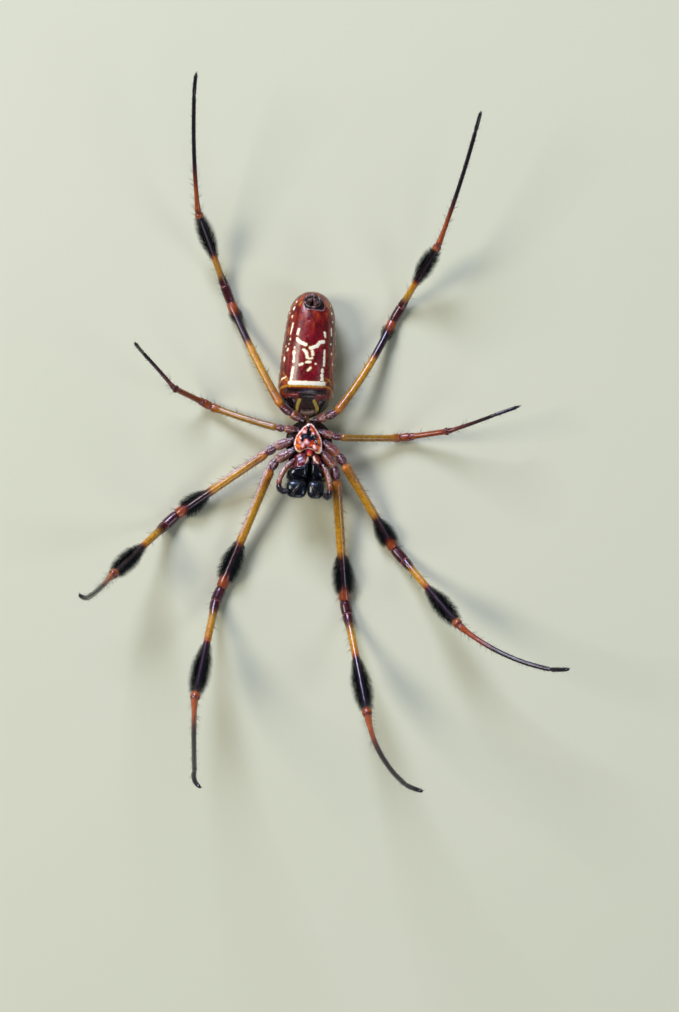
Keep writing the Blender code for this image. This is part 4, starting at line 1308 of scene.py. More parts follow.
@dataclass
class Leg:
    """One leg: a single skin from hip to foot, its brushes, bristles, down and claws."""

    name: str
    finish: LegFinish
    coats: CoatTree
    bristles: Material
    down: Material
    sides: int = 28
    ring_step: float = 0.2
    joint_ring_step: float = 0.06
    joint_reach: float = 0.6
    root_sink: float = 0.5
    joint_gap: float = 0.12
    groove_depth: float = 0.13
    groove_width: float = 0.1
    unevenness: float = 0.018
    thinnest: float = 0.25
    floor_margin: float = 0.06
    claw_length: float = 0.5
    claw_radius: float = 0.05
    claw_spread: float = 0.09

    def __post_init__(self) -> None:
        """Works out the line, the pair and the side from the name."""
        root, segments = LEGS[self.name]
        self.line = LegLine(root, segments)
        self.pair = self.name.split("_")[1]
        self.side = Side.LEFT if self.name.endswith("left") else Side.RIGHT

    def build(self) -> None:
        """Makes all the leg's pieces."""
        nodes = [f"{self.name}_{part}" for part in ("coxa", "femur", "tibia", "tarsus")]
        finish = self.finish.made()
        skin = to_piece(self._skin_form(), f"{self.name}_skin", finish, nodes)
        for coat, hair, word, slot in (
            (BRUSH_COAT, self.bristles, "brush", Slot.LEG_BLACK),
            (SETA_COAT, self.bristles, "bristles", Slot.LEG_BLACK),
            (DOWN_COAT, self.down, "down", Slot.LEG_BASE),
        ):
            if BRUSHES[self.pair] or word != "brush":
                self.coats.grow(skin, coat, hair, f"{self.name}_{word}", slot)
        to_piece(self._claw_form(), f"{self.name}_claws", self.bristles)

    def _places(self) -> Array:
        """Distances of the rings, closer together round each joint."""
        length = self.line.length
        places = [*np.arange(-self.root_sink, length, self.ring_step), length]
        reach = self.joint_reach
        for start in self.line.starts[1:-1]:
            places += [*np.arange(start - reach, start + reach, self.joint_ring_step)]
        places.sort()
        kept = [places[0]]
        for place in places[1:]:
            if place - kept[-1] > self.joint_ring_step * 0.8:
                kept.append(place)
        return np.array(kept)

    def _radii(self, places: Array) -> Array:
        """Radii at distances, with a groove at each joint."""
        rows = [(-self.root_sink, 0.42)]
        last = len(SEGMENTS) - 1
        for index, part in enumerate(SEGMENTS):
            begin = self.line.starts[index] + (self.joint_gap if index else 0.0)
            end = self.line.starts[index + 1] - (self.joint_gap if index < last else 0.0)
            for share, radius in GIRTH[part]:
                rows.append((begin + (end - begin) * share, radius))
        radii = Profile(rows).at(places)[:, 0] * PAIR_GIRTH[self.pair]
        tip = self.line.length - 0.4
        radii = np.where(places < tip, np.maximum(radii, self.thinnest), radii)
        for start in self.line.starts[1:-1]:
            radii *= 1 - self.groove_depth * bell(places - start, self.groove_width)
        return radii

    def _skin_form(self) -> Form:
        """The skin, with the masks and lengths of its coats."""
        places = self._places()
        centres, tangents, sides, ups = self.line.frames(places)
        turns = angles(self.sides)
        outward = spokes(sides, ups, turns if self.side is Side.LEFT else math.pi - turns)
        radii = self._radii(places)
        sample = (centres[:, None] + outward * radii[:, None, None]).reshape(-1, 3)
        uneven = wander(sample, 1.3, float(self.pair)).reshape(len(places), self.sides)
        reach = radii[:, None] * (1 + self.unevenness * uneven)
        rings = centres[:, None] + outward * reach[:, :, None]
        rings[:, :, 2] = np.maximum(rings[:, :, 2], 0.0)
        code = np.interp(places, self.line.starts, np.arange(len(SEGMENTS) + 1))
        lie = np.repeat(tangents[:, None], self.sides, axis=1)
        data = self._coat_data(places, code, turns, outward, lie, rings)
        return loft(rings, code / len(SEGMENTS), data={"lie": lie, **data})

    def _coat_data(
        self, places: Array, code: Array, turns: Array, outward: Array, lie: Array, rings: Array
    ) -> dict[str, Array]:
        """Masks and lengths of the brush, the bristles and the down.

        Args:
            places: distance of each ring.
            code: segment and share at each ring.
            turns: angle of each point round the leg.
            outward: its outward vector.
            lie: the way down the leg there.
            rings: the points.

        Returns:
            The named values.
        """
        up, rear = [np.broadcast_to(wave, outward.shape[:2]) for wave in (np.sin(turns), np.cos(turns))]
        brush = np.zeros(up.shape)
        length = np.zeros(up.shape)
        for item in BRUSHES[self.pair]:
            index = SEGMENTS.index(item.segment)
            start = self.line.starts[index]
            span = self.line.starts[index + 1] - start
            share = ((places - start) / span - item.start) / (item.end - item.start)
            inside = smooth_step(-0.02, 0.03, share) * (1 - smooth_step(0.94, 1.0, share))
            fullness = 0.45 + 0.55 * smooth_step(0.0, 0.35, share)
            fullness *= 1 - 0.5 * smooth_step(0.6, 1.0, share)
            brush += inside[:, None] * (1 - smooth_step(0.62, 0.9, up))
            length += np.where(inside > 0, fullness * item.stand, 0.0)[:, None] * np.ones_like(up)
        slope = math.hypot(BRUSH_COAT.rise, BRUSH_COAT.lean) / BRUSH_COAT.rise
        length = self._cleared(length * slope, BRUSH_COAT, outward, lie, rings)
        brush *= smooth_step(0.25, 0.5, length)
        along = np.broadcast_to(code[:, None], up.shape)
        flank = smooth_step(0.5, 0.9, 0.5 * up + 0.87 * rear)
        hip = (1 - smooth_step(1.75, 1.95, along)) * smooth_step(0.0, 0.6, 0.75 * up + 0.65 * rear)
        fine = 0.12 + np.maximum(hip, flank * (along < self.finish.down_end) * self.finish.down_share)
        fine = np.maximum(fine, smooth_step(5.15, 5.45, along))
        seta = np.where(brush > 0.1, 0.0, 1.0) * np.where(along < 2.0, 0.5, 1.0)
        seta *= np.where(along > 5.0, 2.6, 1.0)
        seta_length = np.where(along < 2.0, 0.5, 1.05) * np.where(along > 5.4, 0.6, 1.0)
        seta_length = self._cleared(seta_length, SETA_COAT, outward, lie, rings)
        lengths = {"brush": length, "seta": seta_length, "down": np.where(along < 2.0, 0.3, 0.24)}
        return {
            "brush": brush,
            "seta": seta * (seta_length > 0.15),
            "down": np.where(brush > 0.1, 0.1, 1.0) * fine,
            **{f"{label}_length": reach * METRES_PER_MM for label, reach in lengths.items()},
        }

    def _cleared(self, length: Array, coat: Coat, outward: Array, lie: Array, rings: Array) -> Array:
        """A coat's lengths, cut so that its tips stay above the floor.

        Args:
            length: the full lengths.
            coat: how the bristles grow.
            outward: the skin's normals.
            lie: the way down the leg.
            rings: the skin's points.

        Returns:
            The lengths that have room.
        """
        way = unit(outward * coat.rise + lie * coat.lean)
        room = np.maximum(rings[..., 2] - self.floor_margin, 0.0)
        drop = np.maximum(-way[..., 2], 1e-3)
        return np.where(way[..., 2] < 0, np.minimum(length, room / drop), length)

    def _claw_form(self) -> Form:
        """Two curved claws and a small middle one at the foot."""
        frames = self.line.frames(np.array([self.line.length - 0.05]))
        centre, tangent, side, up = [rows[0] for rows in frames]
        claws = []
        for offset, size in ((-1, 1.0), (1, 1.0), (0, 0.6)):
            share = np.linspace(0, 1, 9)
            length = self.claw_length * size
            bend = share**2 * length * 0.7
            path = centre + side * offset * self.claw_spread + tangent * (share * length)[:, None]
            path += up * (bend + (0.1 if offset == 0 else 0.0))[:, None]
            path[:, 2] = np.maximum(path[:, 2], self.claw_radius)
            claws.append(tube(path, self.claw_radius * size * (1 - 0.85 * share), 8))
        return joined(claws)


Mark = tuple[float, float, float, float, float]  # u and v of both ends, and the radius


def mark_distance(u: Array, v: Array, marks: Sequence[Mark]) -> Array:
    """The distance to the edge of the nearest of some rounded strokes, negative inside it.

    Args:
        u: places across the body.
        v: places along it.
        marks: the strokes.

    Returns:
        The distances.
    """
    nearest = np.full(np.shape(u), 99.0)
    for start_u, start_v, end_u, end_v, radius in marks:
        span_u = end_u - start_u
        span_v = end_v - start_v
        square = max(span_u**2 + span_v**2, 1e-6)
        share = np.clip(((u - start_u) * span_u + (v - start_v) * span_v) / square, 0, 1)
        away = np.hypot(u - start_u - share * span_u, v - start_v - share * span_v)
        nearest = np.minimum(nearest, away - radius)
    return nearest


ABDOMEN_LAYERS = (
    PaintLayer("shoulder", "b8a018", soft=0.4, ragged=0.8, strength=0.85),
    PaintLayer("front", "35100f", soft=0.25, ragged=0.5),
    PaintLayer("middle", "140808", soft=0.2, ragged=0.3),
    PaintLayer("wine", "8a3030", soft=0.2, ragged=0.4, strength=0.8),
    PaintLayer("lungs", "0a0405", soft=0.1, ragged=0.2, roughness=0.2),
    PaintLayer("fringe", "c48a10", soft=0.1, ragged=0.4),
    PaintLayer("halo", "e0b030", soft=0.1, ragged=0.4, strength=0.8),
    PaintLayer("cream", "fffdea", soft=0.04, ragged=0.34, roughness=0.4),
    PaintLayer("bars", "bcaa50", soft=0.08, ragged=0.15),
    PaintLayer("hump", "806458", soft=0.2, ragged=0.3),
    PaintLayer("slate", "14182e", soft=0.1, ragged=0.2),
    # Painted highlight: a thin pale lilac line along the edge of the furrow.
    PaintLayer("lilac", "8a7a98", soft=0.1, ragged=0.2, strength=0.8),
    # Painted shade: a dark ring round the spinnerets, with a painted lilac highlight on its rim.
    PaintLayer("spinner_shade", "200a0c", soft=0.2, ragged=0.3),
    PaintLayer("rim", "a890a4", soft=0.06, ragged=0.12, strength=0.7),
    PaintLayer("tail_gold", "b8860f", soft=0.06, ragged=0.2),
)


@dataclass(frozen=True)
class AbdomenFinish(Finish):
    """The crimson underside, amber on the flanks and towards the tail, and the olive back."""

    name: str = "abdomen_hide"
    belly: Stops = ((0.0, "560208"), (0.45, "74021a"), (0.8, "86081e"), (1.0, "901a06"))
    flank: Stops = ((0.0, "3e0604"), (0.4, "6c1204"), (0.7, "8e2806"), (1.0, "b05810"))
    back: Stops = ((0.0, "4a3410"), (0.5, "7a5a1a"), (1.0, "a08428"))
    streak: Row = (1.6, 0.5, 1.6)
    grain: float = 7.0
    roughness: float = 0.28

    def paint(self, canvas: NodeCanvas, place: Socket) -> None:
        """Feeds the shader."""
        streaks = canvas.noise(canvas.stretched(place, self.streak), 1.0, 5.0)
        streaks = canvas.rise(streaks, 0.3, 0.72)
        tail = canvas.rise(canvas.parts(place)[1], 1.0, 6.0)
        spread = canvas.attribute("backward")
        amber = canvas.math("MAXIMUM", canvas.rise(spread, 0.19, 0.34), canvas.times(tail, 0.6))
        colour = canvas.mixed(amber, canvas.ramp(streaks, self.belly), canvas.ramp(streaks, self.flank))
        colour = canvas.mixed(canvas.rise(spread, 0.55, 0.72), colour, canvas.ramp(streaks, self.back))
        fine = canvas.times(canvas.rise(canvas.noise(place, 7.0, 4.0), 0.5, 0.8), 0.5)
        colour = canvas.mixed(fine, colour, "2c0408")
        skin = canvas.group(Effects.cuticle(), place=place, grain=self.grain, pits=0.25)
        self.cover(canvas, place, colour, skin["Tone"], self.roughness, ABDOMEN_LAYERS)
        canvas.shade(coat_weight=0.35, coat_roughness=0.2, subsurface_weight=0.05, subsurface_scale=0.0005)
        canvas.bump(skin["Height"], 0.02)


ABDOMEN_MARKS: dict[str, tuple[Mark, ...]] = {
    "cream": (
        (-2.32, -5.06, 0.44, -4.91, 0.28), (0.44, -4.91, 2.5, -4.83, 0.28),
        (-1.97, -2.84, -2.15, -4.72, 0.18), (-2.02, -0.52, -2.0, -0.9, 0.22),
        (-1.97, -1.3, -1.95, -1.45, 0.15), (-1.96, -1.8, -1.95, -1.97, 0.22),
        (-1.96, 0.07, -1.96, 0.04, 0.15), (-1.64, 1.32, -1.36, 0.99, 0.26),
        (-1.36, 0.99, -0.43, 0.59, 0.23), (0.25, 0.17, 1.06, 0.53, 0.23), (1.06, 0.53, 1.41, 1.09, 0.23),
        (1.41, 1.09, 2.0, 1.2, 0.23), (-0.63, -0.16, -0.28, -0.45, 0.18),
        (-0.28, -0.45, -0.09, -1.24, 0.18), (-0.02, -1.34, 0.55, -1.29, 0.12),
        (0.48, -0.33, 0.54, -0.75, 0.19), (-0.09, -1.88, 0.25, -1.86, 0.18),
        (-1.02, -2.38, -0.67, -2.18, 0.17), (1.02, -2.06, 1.03, -2.07, 0.12),
        (0.13, -3.06, 0.42, -2.62, 0.14), (2.2, -0.07, 2.26, -2.2, 0.15),
        (2.09, -2.85, 2.11, -3.11, 0.22), (2.08, -3.63, 2.16, -4.27, 0.23),
        (-1.55, 2.72, -1.67, 2.15, 0.22), (2.02, 2.56, 2.14, 2.03, 0.18), (2.99, 3.15, 3.06, 2.25, 0.14),
        (2.91, 5.46, 2.91, 5.4, 0.18), (2.6, 6.6, 2.61, 6.54, 0.1), (3.1, 4.25, 3.11, 4.19, 0.13),
        (3.05, 1.02, 3.05, 0.96, 0.13), (3.22, -0.38, 3.23, -0.45, 0.15),
        (3.5, -1.84, 3.51, -1.97, 0.18), (-2.49, 3.57, -2.72, 2.07, 0.13),
        (-2.58, 5.72, -2.53, 5.8, 0.23), (-2.25, 6.82, -2.24, 6.75, 0.13),
        (-2.7, 4.53, -2.67, 4.58, 0.17), (-3.12, 5.07, -3.12, 5.06, 0.1),
        (-2.71, 1.3, -2.71, 1.27, 0.15), (-2.9, 0.58, -2.9, 0.56, 0.1),
        (-2.97, -0.16, -3.04, -0.34, 0.14), (-3.39, -1.52, -3.37, -1.78, 0.24),
        (-3.26, 0.16, -3.26, 0.15, 0.09), (-3.79, -0.97, -3.79, -0.99, 0.12),
        (-3.58, -4.63, -2.94, -4.24, 0.09),
    ),
    "fringe": (
        (-2.5, -5.45, 2.7, -5.2, 0.18), (-2.67, -5.44, -3.57, -5.79, 0.13),
        (-3.57, -5.79, -3.85, -6.6, 0.12), (2.7, -5.2, 3.5, -5.4, 0.13), (3.5, -5.4, 3.85, -6.2, 0.12),
        (-2.4, -4.95, -3.3, -4.3, 0.1), (-3.3, -4.3, -3.8, -5.1, 0.1), (-2.6, -4.4, -3.5, -3.5, 0.07),
        (2.6, -4.85, 3.2, -4.2, 0.09), (3.2, -4.2, 3.55, -4.9, 0.09), (2.6, -4.0, 3.14, -4.19, 0.07),
    ),
    "front": (
        (-2.7, -6.5, 2.8, -6.4, 0.7), (-2.3, -7.9, 2.6, -7.9, 1.4), (-0.6, -9.4, 1.0, -9.4, 1.2),
    ),
    "middle": (
        (-2.3, -6.02, 2.5, -5.9, 0.2), (-0.6, -6.6, 1.2, -6.55, 0.35), (0.3, -7.0, 0.3, -7.7, 0.5),
        (0.3, -7.7, -0.1, -8.6, 0.45), (0.3, -7.7, 0.8, -8.6, 0.45),
    ),
    "wine": (
        (-2.9, -6.9, -1.1, -6.62, 0.24), (-1.1, -6.7, -1.2, -7.2, 0.2), (1.5, -6.75, 3.0, -6.7, 0.25),
        (1.5, -6.8, 1.75, -7.2, 0.2),
    ),
    "lungs": ((-2.45, -8.05, -2.0, -7.9, 0.84), (2.45, -7.95, 2.8, -8.15, 0.84)),
    "bars": ((-0.72, -7.4, -1.02, -8.96, 0.25), (1.2, -7.4, 1.66, -9.01, 0.24)),
    "hump": ((-0.3, -9.36, 1.05, -9.24, 0.45),),
    "slate": ((-0.45, -5.98, 1.28, -5.88, 0.16),),
    # Painted highlight: a thin lilac line along the furrow's edge.
    "lilac": ((-1.0, -6.3, 0.4, -6.22, 0.05), (0.4, -6.22, 1.3, -6.3, 0.05)),
    # Painted shade round the spinnerets.
    "spinner_shade": ((-0.5, 6.8, 1.1, 6.7, 1.0),),
    "tail_gold": ((-1.83, 6.33, -1.41, 6.82, 0.12), (2.02, 6.62, 2.38, 6.2, 0.12)),
}


@dataclass
class Abdomen:
    """The long abdomen: its skin with the markings and covers of the underside."""

    coats: CoatTree
    down: Material
    stations: tuple[Row, ...] = (
        (-10.02, 0.02, 2.85, 2.75), (-9.95, 0.6, 3.2, 2.4), (-9.75, 1.1, 3.6, 2.0),
        (-9.3, 2.1, 4.3, 1.1), (-8.6, 2.95, 5.0, 0.45), (-7.6, 3.6, 6.0, 0.1),
        (-6.4, 3.95, 7.0, -0.1), (-5.0, 4.12, 7.5, -0.1), (-2.0, 3.98, 7.6, -0.1),
        (0.6, 3.82, 7.5, -0.1), (3.2, 3.62, 7.2, -0.1), (5.2, 3.34, 6.8, 0.15),
        (6.6, 2.85, 6.3, 0.8), (7.6, 2.15, 5.6, 1.6), (8.2, 1.35, 4.9, 2.4),
        (8.42, 0.75, 4.3, 3.0), (8.5, 0.02, 3.7, 3.6),
    )
    ring_step: float = 0.11
    sides: int = 176
    squareness: float = 2.15
    girth_radius: float = 3.9
    wrinkle: float = 0.035
    mark_swell: float = 0.01
    marks: dict[str, tuple[Mark, ...]] = field(default_factory=lambda: ABDOMEN_MARKS)
    shoulder_marks: tuple[Mark, ...] = ((-6.4, -8.3, -6.2, -9.4, 1.5), (6.4, -8.0, 6.2, -9.4, 1.5))

    def _girth_place(self, u: float, v: float) -> float:
        """How far round the abdomen from the middle of the underside a place seen at u lies."""
        half_width = float(Profile(self.stations).at(np.array([v]))[0, 0])
        return self.girth_radius * math.asin(max(-0.99, min(0.99, u / half_width)))

    def _wrapped(self, marks: Sequence[Mark]) -> list[Mark]:
        """Marks laid out on the skin instead of as seen from above it."""
        laid = []
        for start_u, start_v, end_u, end_v, radius in marks:
            first = self._girth_place(start_u, start_v)
            laid.append((first, start_v, self._girth_place(end_u, end_v), end_v, radius))
        return laid

    def _back_marks(self) -> list[Mark]:
        """Paired pale spots down the back and the flanks."""
        marks = []
        for sign in (-1, 1):
            for k in range(6):
                v = -6.6 + 2.3 * k
                size = 0.36 - 0.03 * k
                marks.append((sign * 10.3, v, sign * 10.2, v + 0.4, size))
                marks.append((sign * 7.6, v + 0.9, sign * 7.5, v + 1.2, size * 0.7))
            for k in range(9):
                marks.append((sign * 5.6, -6.5 + 1.5 * k, sign * 5.6, -6.3 + 1.5 * k, 0.16))
        return marks

    def build(self) -> None:
        """Makes the skin and its fine hair."""
        span = self.stations[-1][0] - self.stations[0][0]
        middle = np.linspace(0, 1, int(span / self.ring_step))
        share = (1 - np.cos(middle * math.pi)) / 2 * 0.25 + middle * 0.75
        rows = self.stations[0][0] + span * share
        values = Profile(self.stations).at(rows)
        turns = (np.arange(self.sides) / self.sides - 0.5) * FULL_TURN
        power = 2 / self.squareness
        half_width, high, low = values.T[:, :, None]
        u = half_width * squared(np.sin(turns), power)
        v = np.repeat(rows[:, None], self.sides, axis=1)
        z = (high + low) / 2 + (high - low) / 2 * squared(np.cos(turns), power)
        girth = np.broadcast_to(self.girth_radius * turns, u.shape)
        layers = {name: mark_distance(girth, v, self._wrapped(m)) for name, m in self.marks.items()}
        layers["cream"] -= self.mark_swell
        layers["cream"] = np.minimum(layers["cream"], mark_distance(girth, v, self._back_marks()))
        layers["halo"] = layers["cream"] - 0.045
        # The rim is a painted highlight round the painted shade of the spinnerets.
        layers["rim"] = np.abs(layers["spinner_shade"]) - 0.07
        layers["shoulder"] = mark_distance(girth, v, self.shoulder_marks)
        out = self._relief(layers, girth, v)
        out *= np.minimum(1.0, half_width / 1.5)
        z = np.maximum(z + out * np.cos(turns), 0.0)
        rings = np.stack([u + out * np.sin(turns), v, z], axis=-1)
        lie = np.broadcast_to((0.0, 1.0, 0.0), rings.shape)
        data = {"lie": lie, **layers, "down": np.ones(u.shape)}
        data["down_length"] = np.full(u.shape, 0.22 * METRES_PER_MM)
        data["backward"] = np.broadcast_to(np.abs(turns) / math.pi, u.shape)
        form = loft(on_abdomen(rings), share, data=data)
        skin = to_piece(form, "abdomen_skin", AbdomenFinish().made(), ["abdomen"])
        coat = Coat("down", 7.0, 0.035, -0.1, 0.6, 1.0, 0.2, 0.2, 2, 51)
        self.coats.grow(skin, coat, self.down, "abdomen_down", Slot.ABDOMEN)

    def _relief(self, layers: dict[str, Array], girth: Array, v: Array) -> Array:
        """How far the skin stands out: lung covers, furrow, hump, pits and wrinkles.

        Args:
            layers: distances to the markings.
            girth: places round the abdomen.
            v: places along it.

        Returns:
            Offsets in millimetres.
        """
        out = -0.07 * bell(layers["lungs"] - 0.16, 0.1)
        for height, low, high, label in (
            (0.13, 0.12, -0.12, "lungs"), (0.22, 0.25, -0.4, "hump"), (0.05, 0.1, -0.1, "bars"),
            (0.04, 0.1, -0.15, "cream"),
        ):
            out += height * smooth_step(low, high, layers[label])
        pits = [(0.2 + s * a, b, 0.2 + s * a, b, 0.0) for s in (-1, 1) for a, b in
                ((0.6, 2.0), (0.7, -3.4), (0.5, 4.2), (9.6, -3.0), (9.8, -0.4), (10.2, 2.2))]
        for height, width, marks in (
            (-0.16, 0.16, ((-2.6, -6.55, 2.8, -6.35, 0.0),)),  # the furrow
            (-0.2, 0.15, ((-0.2, -8.75, 0.95, -8.7, 0.0),)),  # the slit
            (-0.07, 0.16, pits),
            (0.12, 0.18, ((0.0, 6.9, 0.0, 6.8, 1.05),)),  # the moat round the spinnerets
        ):
            out += height * bell(mark_distance(girth, v, marks), width)
        places = np.stack([girth * 1.4, v * 0.22, np.zeros_like(v)], axis=-1).reshape(-1, 3)
        folds = wander(places, 1.0, 3.0).reshape(v.shape)
        flank = smooth_step(2.2, 4.0, np.abs(girth)) * (1 - smooth_step(8.5, 10.0, np.abs(girth)))
        out += self.wrinkle * folds * (0.35 + 1.6 * flank)
        return out


@dataclass
class Spinnerets:
    """The cluster of silk spinnerets in its ring, with the small tubercle behind it."""

    place: Row = (0.0, 6.9, 6.12)
    lean: float = 32.0
    collar: tuple[Row, ...] = ((1.2, -0.3), (1.28, 0.0), (1.2, 0.2), (1.04, 0.26), (0.9, 0.1))
    spigots: tuple[Row, ...] = (
        (0.52, -0.4, 0.85, 0.46), (0.52, 0.42, 0.75, 0.4), (0.18, 0.02, 0.5, 0.26),
    )
    tubercle: Row = (0.0, 0.95, 0.45, 0.4)

    def build(self) -> None:
        """Makes the cluster as one piece."""
        lean = math.radians(self.lean)
        outward = np.array((0.0, math.sin(lean), math.cos(lean)))
        along = np.array((0.0, math.cos(lean), -math.sin(lean)))
        across = np.array((1.0, 0.0, 0.0))
        foot = on_abdomen(np.array(self.place)) + outward * 0.1
        spread = spokes(across[None], along[None], angles(40))[0]
        rings = [foot + outward * height + radius * spread for radius, height in self.collar]
        forms = [loft(np.array(rings))]
        for spread, back, length, radius in self.spigots:
            for sign in (-1, 1):
                root = foot + across * sign * spread + along * back
                tip = root + outward * length * 1.25 - across * sign * spread * 0.35
                forms.append(self._spigot(root, tip, radius))
        spread, back, length, radius = self.tubercle
        root = foot + along * back - outward * 0.25
        forms.append(self._spigot(root, root + outward * length + along * 0.12, radius))
        finish = PaintedFinish(
            "spinneret_hide", ((0.0, "0e0606"), (0.45, "2a100e"), (0.7, "5a2a20"), (1.0, "8c7684")),
            mottle=1.7, grain=9.0, roughness=0.35, coat=0.4, depth=0.03,
        )
        to_piece(joined(forms), "spinneret_cluster", finish.made(), ["spinnerets"])

    @staticmethod
    def _spigot(root: Array, tip: Array, radius: float) -> Form:
        """A two-jointed cone with a blunt, fringed tip."""
        shares = np.array((-0.3, 0.0, 0.25, 0.48, 0.52, 0.56, 0.8, 0.95, 1.0))
        widths = np.array((0.9, 1.0, 1.02, 0.92, 0.74, 0.82, 0.74, 0.55, 0.3))
        path = root + (tip - root) * shares[:, None]
        return tube(path, radius * widths, 20)


@dataclass
class Waist:
    """The short waist between the front body and the abdomen."""

    rows: tuple[Row, ...] = (
        (-0.02, -10.9, 3.9, 0.42), (-0.05, -10.6, 4.0, 0.34), (-0.2, -10.25, 4.05, 0.3),
        (-0.33, -9.9, 4.0, 0.36), (-0.42, -9.6, 3.9, 0.44),
    )

    def build(self) -> None:
        """Makes the waist."""
        path = smooth_path(self.rows, 16)
        finish = PaintedFinish(
            "waist_hide", ((0.0, "241008"), (0.6, "4a2410"), (1.0, "7a4a26")), mottle=2.0, roughness=0.45,
        )
        form = tube(path[:, :3], path[:, 3], 24)
        to_piece(form, "waist_skin", finish.made(), ["pedicel"])


CARAPACE_LAYERS = (
    # The membrane above the shield's rim, seen between the hips: its own dark colour, deepened as painted
    # shade.
    PaintLayer("pleura", "1c0a08", soft=0.3, ragged=0.3, roughness=0.8),
    PaintLayer("head", "0a0809", soft=0.5, ragged=0.8, roughness=0.3),
    PaintLayer("groove", "1c120c", soft=0.15, ragged=0.2),
)


@dataclass
class Carapace:
    """The shield of the front body, which faces the floor, with its horns and eye mounds."""

    coats: CoatTree
    down: Material
    bristles: Material
    stations: tuple[Row, ...] = (
        (-10.15, 0.5, 0.3), (-10.3, 1.3, 0.75), (-10.7, 2.05, 1.3), (-11.5, 2.8, 1.7),
        (-12.8, 3.35, 1.9), (-14.2, 3.3, 2.0), (-15.3, 3.0, 2.4), (-16.3, 2.75, 2.75),
        (-17.6, 2.65, 2.8), (-18.8, 2.55, 2.6), (-19.5, 2.3, 2.15), (-19.85, 1.75, 1.5),
        (-19.98, 0.9, 0.7),
    )
    arch_power: float = 0.8
    ring_step: float = 0.16
    sides: int = 72
    membrane: float = 0.75
    horn: Row = (0.75, -16.2)
    eye_radius: float = 0.3
    mound_height: float = 0.12
    eye_gap: float = 0.14
    head_centre: Row = (0.0, -17.2, 2.6)
    eyes: dict[str, Row] = field(
        default_factory=lambda: {
            "eye_front_median": (-19.55, 76.0), "eye_rear_median": (-18.6, 77.0),
            "eye_front_lateral": (-19.45, 38.0), "eye_rear_lateral": (-18.65, 30.0),
        }
    )

    def __post_init__(self) -> None:
        """Prepares the shield's curves."""
        self.curves = Profile(self.stations)

    def _arch(self, v: Array, turns: Array) -> Array:
        """Points of the shield and of the membrane above its rim.

        Args:
            v: places along the body.
            turns: angles round the section, where 0 to pi is the shield.

        Returns:
            Points as (place, angle, axis), in the body's own line.
        """
        values = self.curves.at(v)
        sine = np.sin(turns)
        u = values[:, 0][:, None] * np.cos(turns)
        shield = values[:, 1][:, None] * np.abs(sine) ** self.arch_power
        rise = self.membrane * smooth_step(0.0, 3.0, values[:, 0])
        membrane = rise[:, None] * np.abs(sine) ** 1.2
        z = RIM_Z - np.where(sine >= 0, shield, -membrane)
        return np.stack([u, np.repeat(v[:, None], len(turns), axis=1), z], axis=-1)

    def build(self) -> None:
        """Makes the shield, its horns, its hair and the eyes."""
        span = self.stations[0][0] - self.stations[-1][0]
        v = np.linspace(self.stations[0][0], self.stations[-1][0], int(span / self.ring_step))
        turns = angles(self.sides)
        rings = self._arch(v, turns)
        grid_u, grid_v, z = np.moveaxis(rings, -1, 0)
        shield = np.sin(turns)[None] >= 0
        grooves = [(-0.7, -12.9, 0.7, -12.9, 0.1)]
        for sign in (-1, 1):
            grooves += [(0.3 * sign, -13.0, 3.3 * sign, -13.0 + d, 0.03) for d in (-1.9, -0.5, 0.9, 2.0)]
        groove = mark_distance(grid_u, grid_v, grooves)
        z += 0.14 * bell(np.maximum(groove, 0), 0.18) * shield
        forward = on_prosoma(np.array((0.0, -13.9, 0.0))) - on_prosoma(np.array((0.0, -12.9, 0.0)))
        rim = smooth_step(RIM_Z - 0.5, RIM_Z - 1.0, z)
        data = {
            "lie": np.broadcast_to(forward, rings.shape),
            "head": grid_v + 16.0 + 0.12 * grid_u**2,
            "groove": groove,
            "down": shield * smooth_step(-16.6, -15.6, grid_v) * rim,
            # Painted shade and the membrane's dark colour, where it stands above the rim.
            "pleura": (RIM_Z - 0.7) - z,
            "down_length": np.full(z.shape, 0.34 * METRES_PER_MM),
            "seta": shield * smooth_step(-16.4, -17.2, grid_v),
            "seta_length": np.full(z.shape, 0.55 * METRES_PER_MM),
        }
        forms = [loft(on_prosoma(rings), data=data)]
        forms += [self._horn(sign, data) for sign in (-1, 1)]
        forms += [self._mound(seat, outward, data) for _, seat, outward in self._eye_seats()]
        finish = PaintedFinish(
            "carapace_shield", ((0.0, "3c2a1c"), (0.5, "5c4834"), (1.0, "857a68")), CARAPACE_LAYERS,
            mottle=1.4, roughness=0.45, coat=0.06, depth=0.03,
        )
        skin = to_piece(joined(forms), "carapace_shield", finish.made(), ["carapace"])
        coat = Coat("down", 120.0, 0.04, -0.15, 0.25, 1.0, 0.2, 0.5, 2, 61)
        self.coats.grow(skin, coat, self.down, "carapace_down", Slot.CARAPACE)
        coat = Coat("seta", 5.0, 0.035, -0.1, 0.9, 0.8, 0.2, 0.0, 2, 67)
        self.coats.grow(skin, coat, self.bristles, "head_bristles", Slot.CARAPACE)
        self._build_eyes()

    @staticmethod
    def _bare(form: Form, data: dict[str, Array]) -> Form:
        """Gives a small form the shield's data, with no hair and the head's colour."""
        levels = dict.fromkeys(data, 0.0) | {"head": -3.0, "groove": 9.0}
        plain = {name: np.full((len(form.points), 1), level) for name, level in levels.items()}
        form.data = plain | {"lie": form.data["lie"]}
        return form

    def _horn(self, sign: int, data: dict[str, Array]) -> Form:
        """One of the two small horns that she rests on."""
        heights = np.array((2.3, 1.9, 1.5, 1.2, 0.9, 0.6, 0.3, 0.08, 0.0))
        radii = np.array((0.9, 0.66, 0.5, 0.42, 0.36, 0.31, 0.27, 0.24, 0.2))
        path = np.stack([np.full(9, sign * self.horn[0]), np.full(9, self.horn[1]), heights], axis=-1)
        form = tube(on_prosoma(path), radii, 20)
        form.points[:, 2] = np.maximum(form.points[:, 2], 0.0)
        return self._bare(form, data)

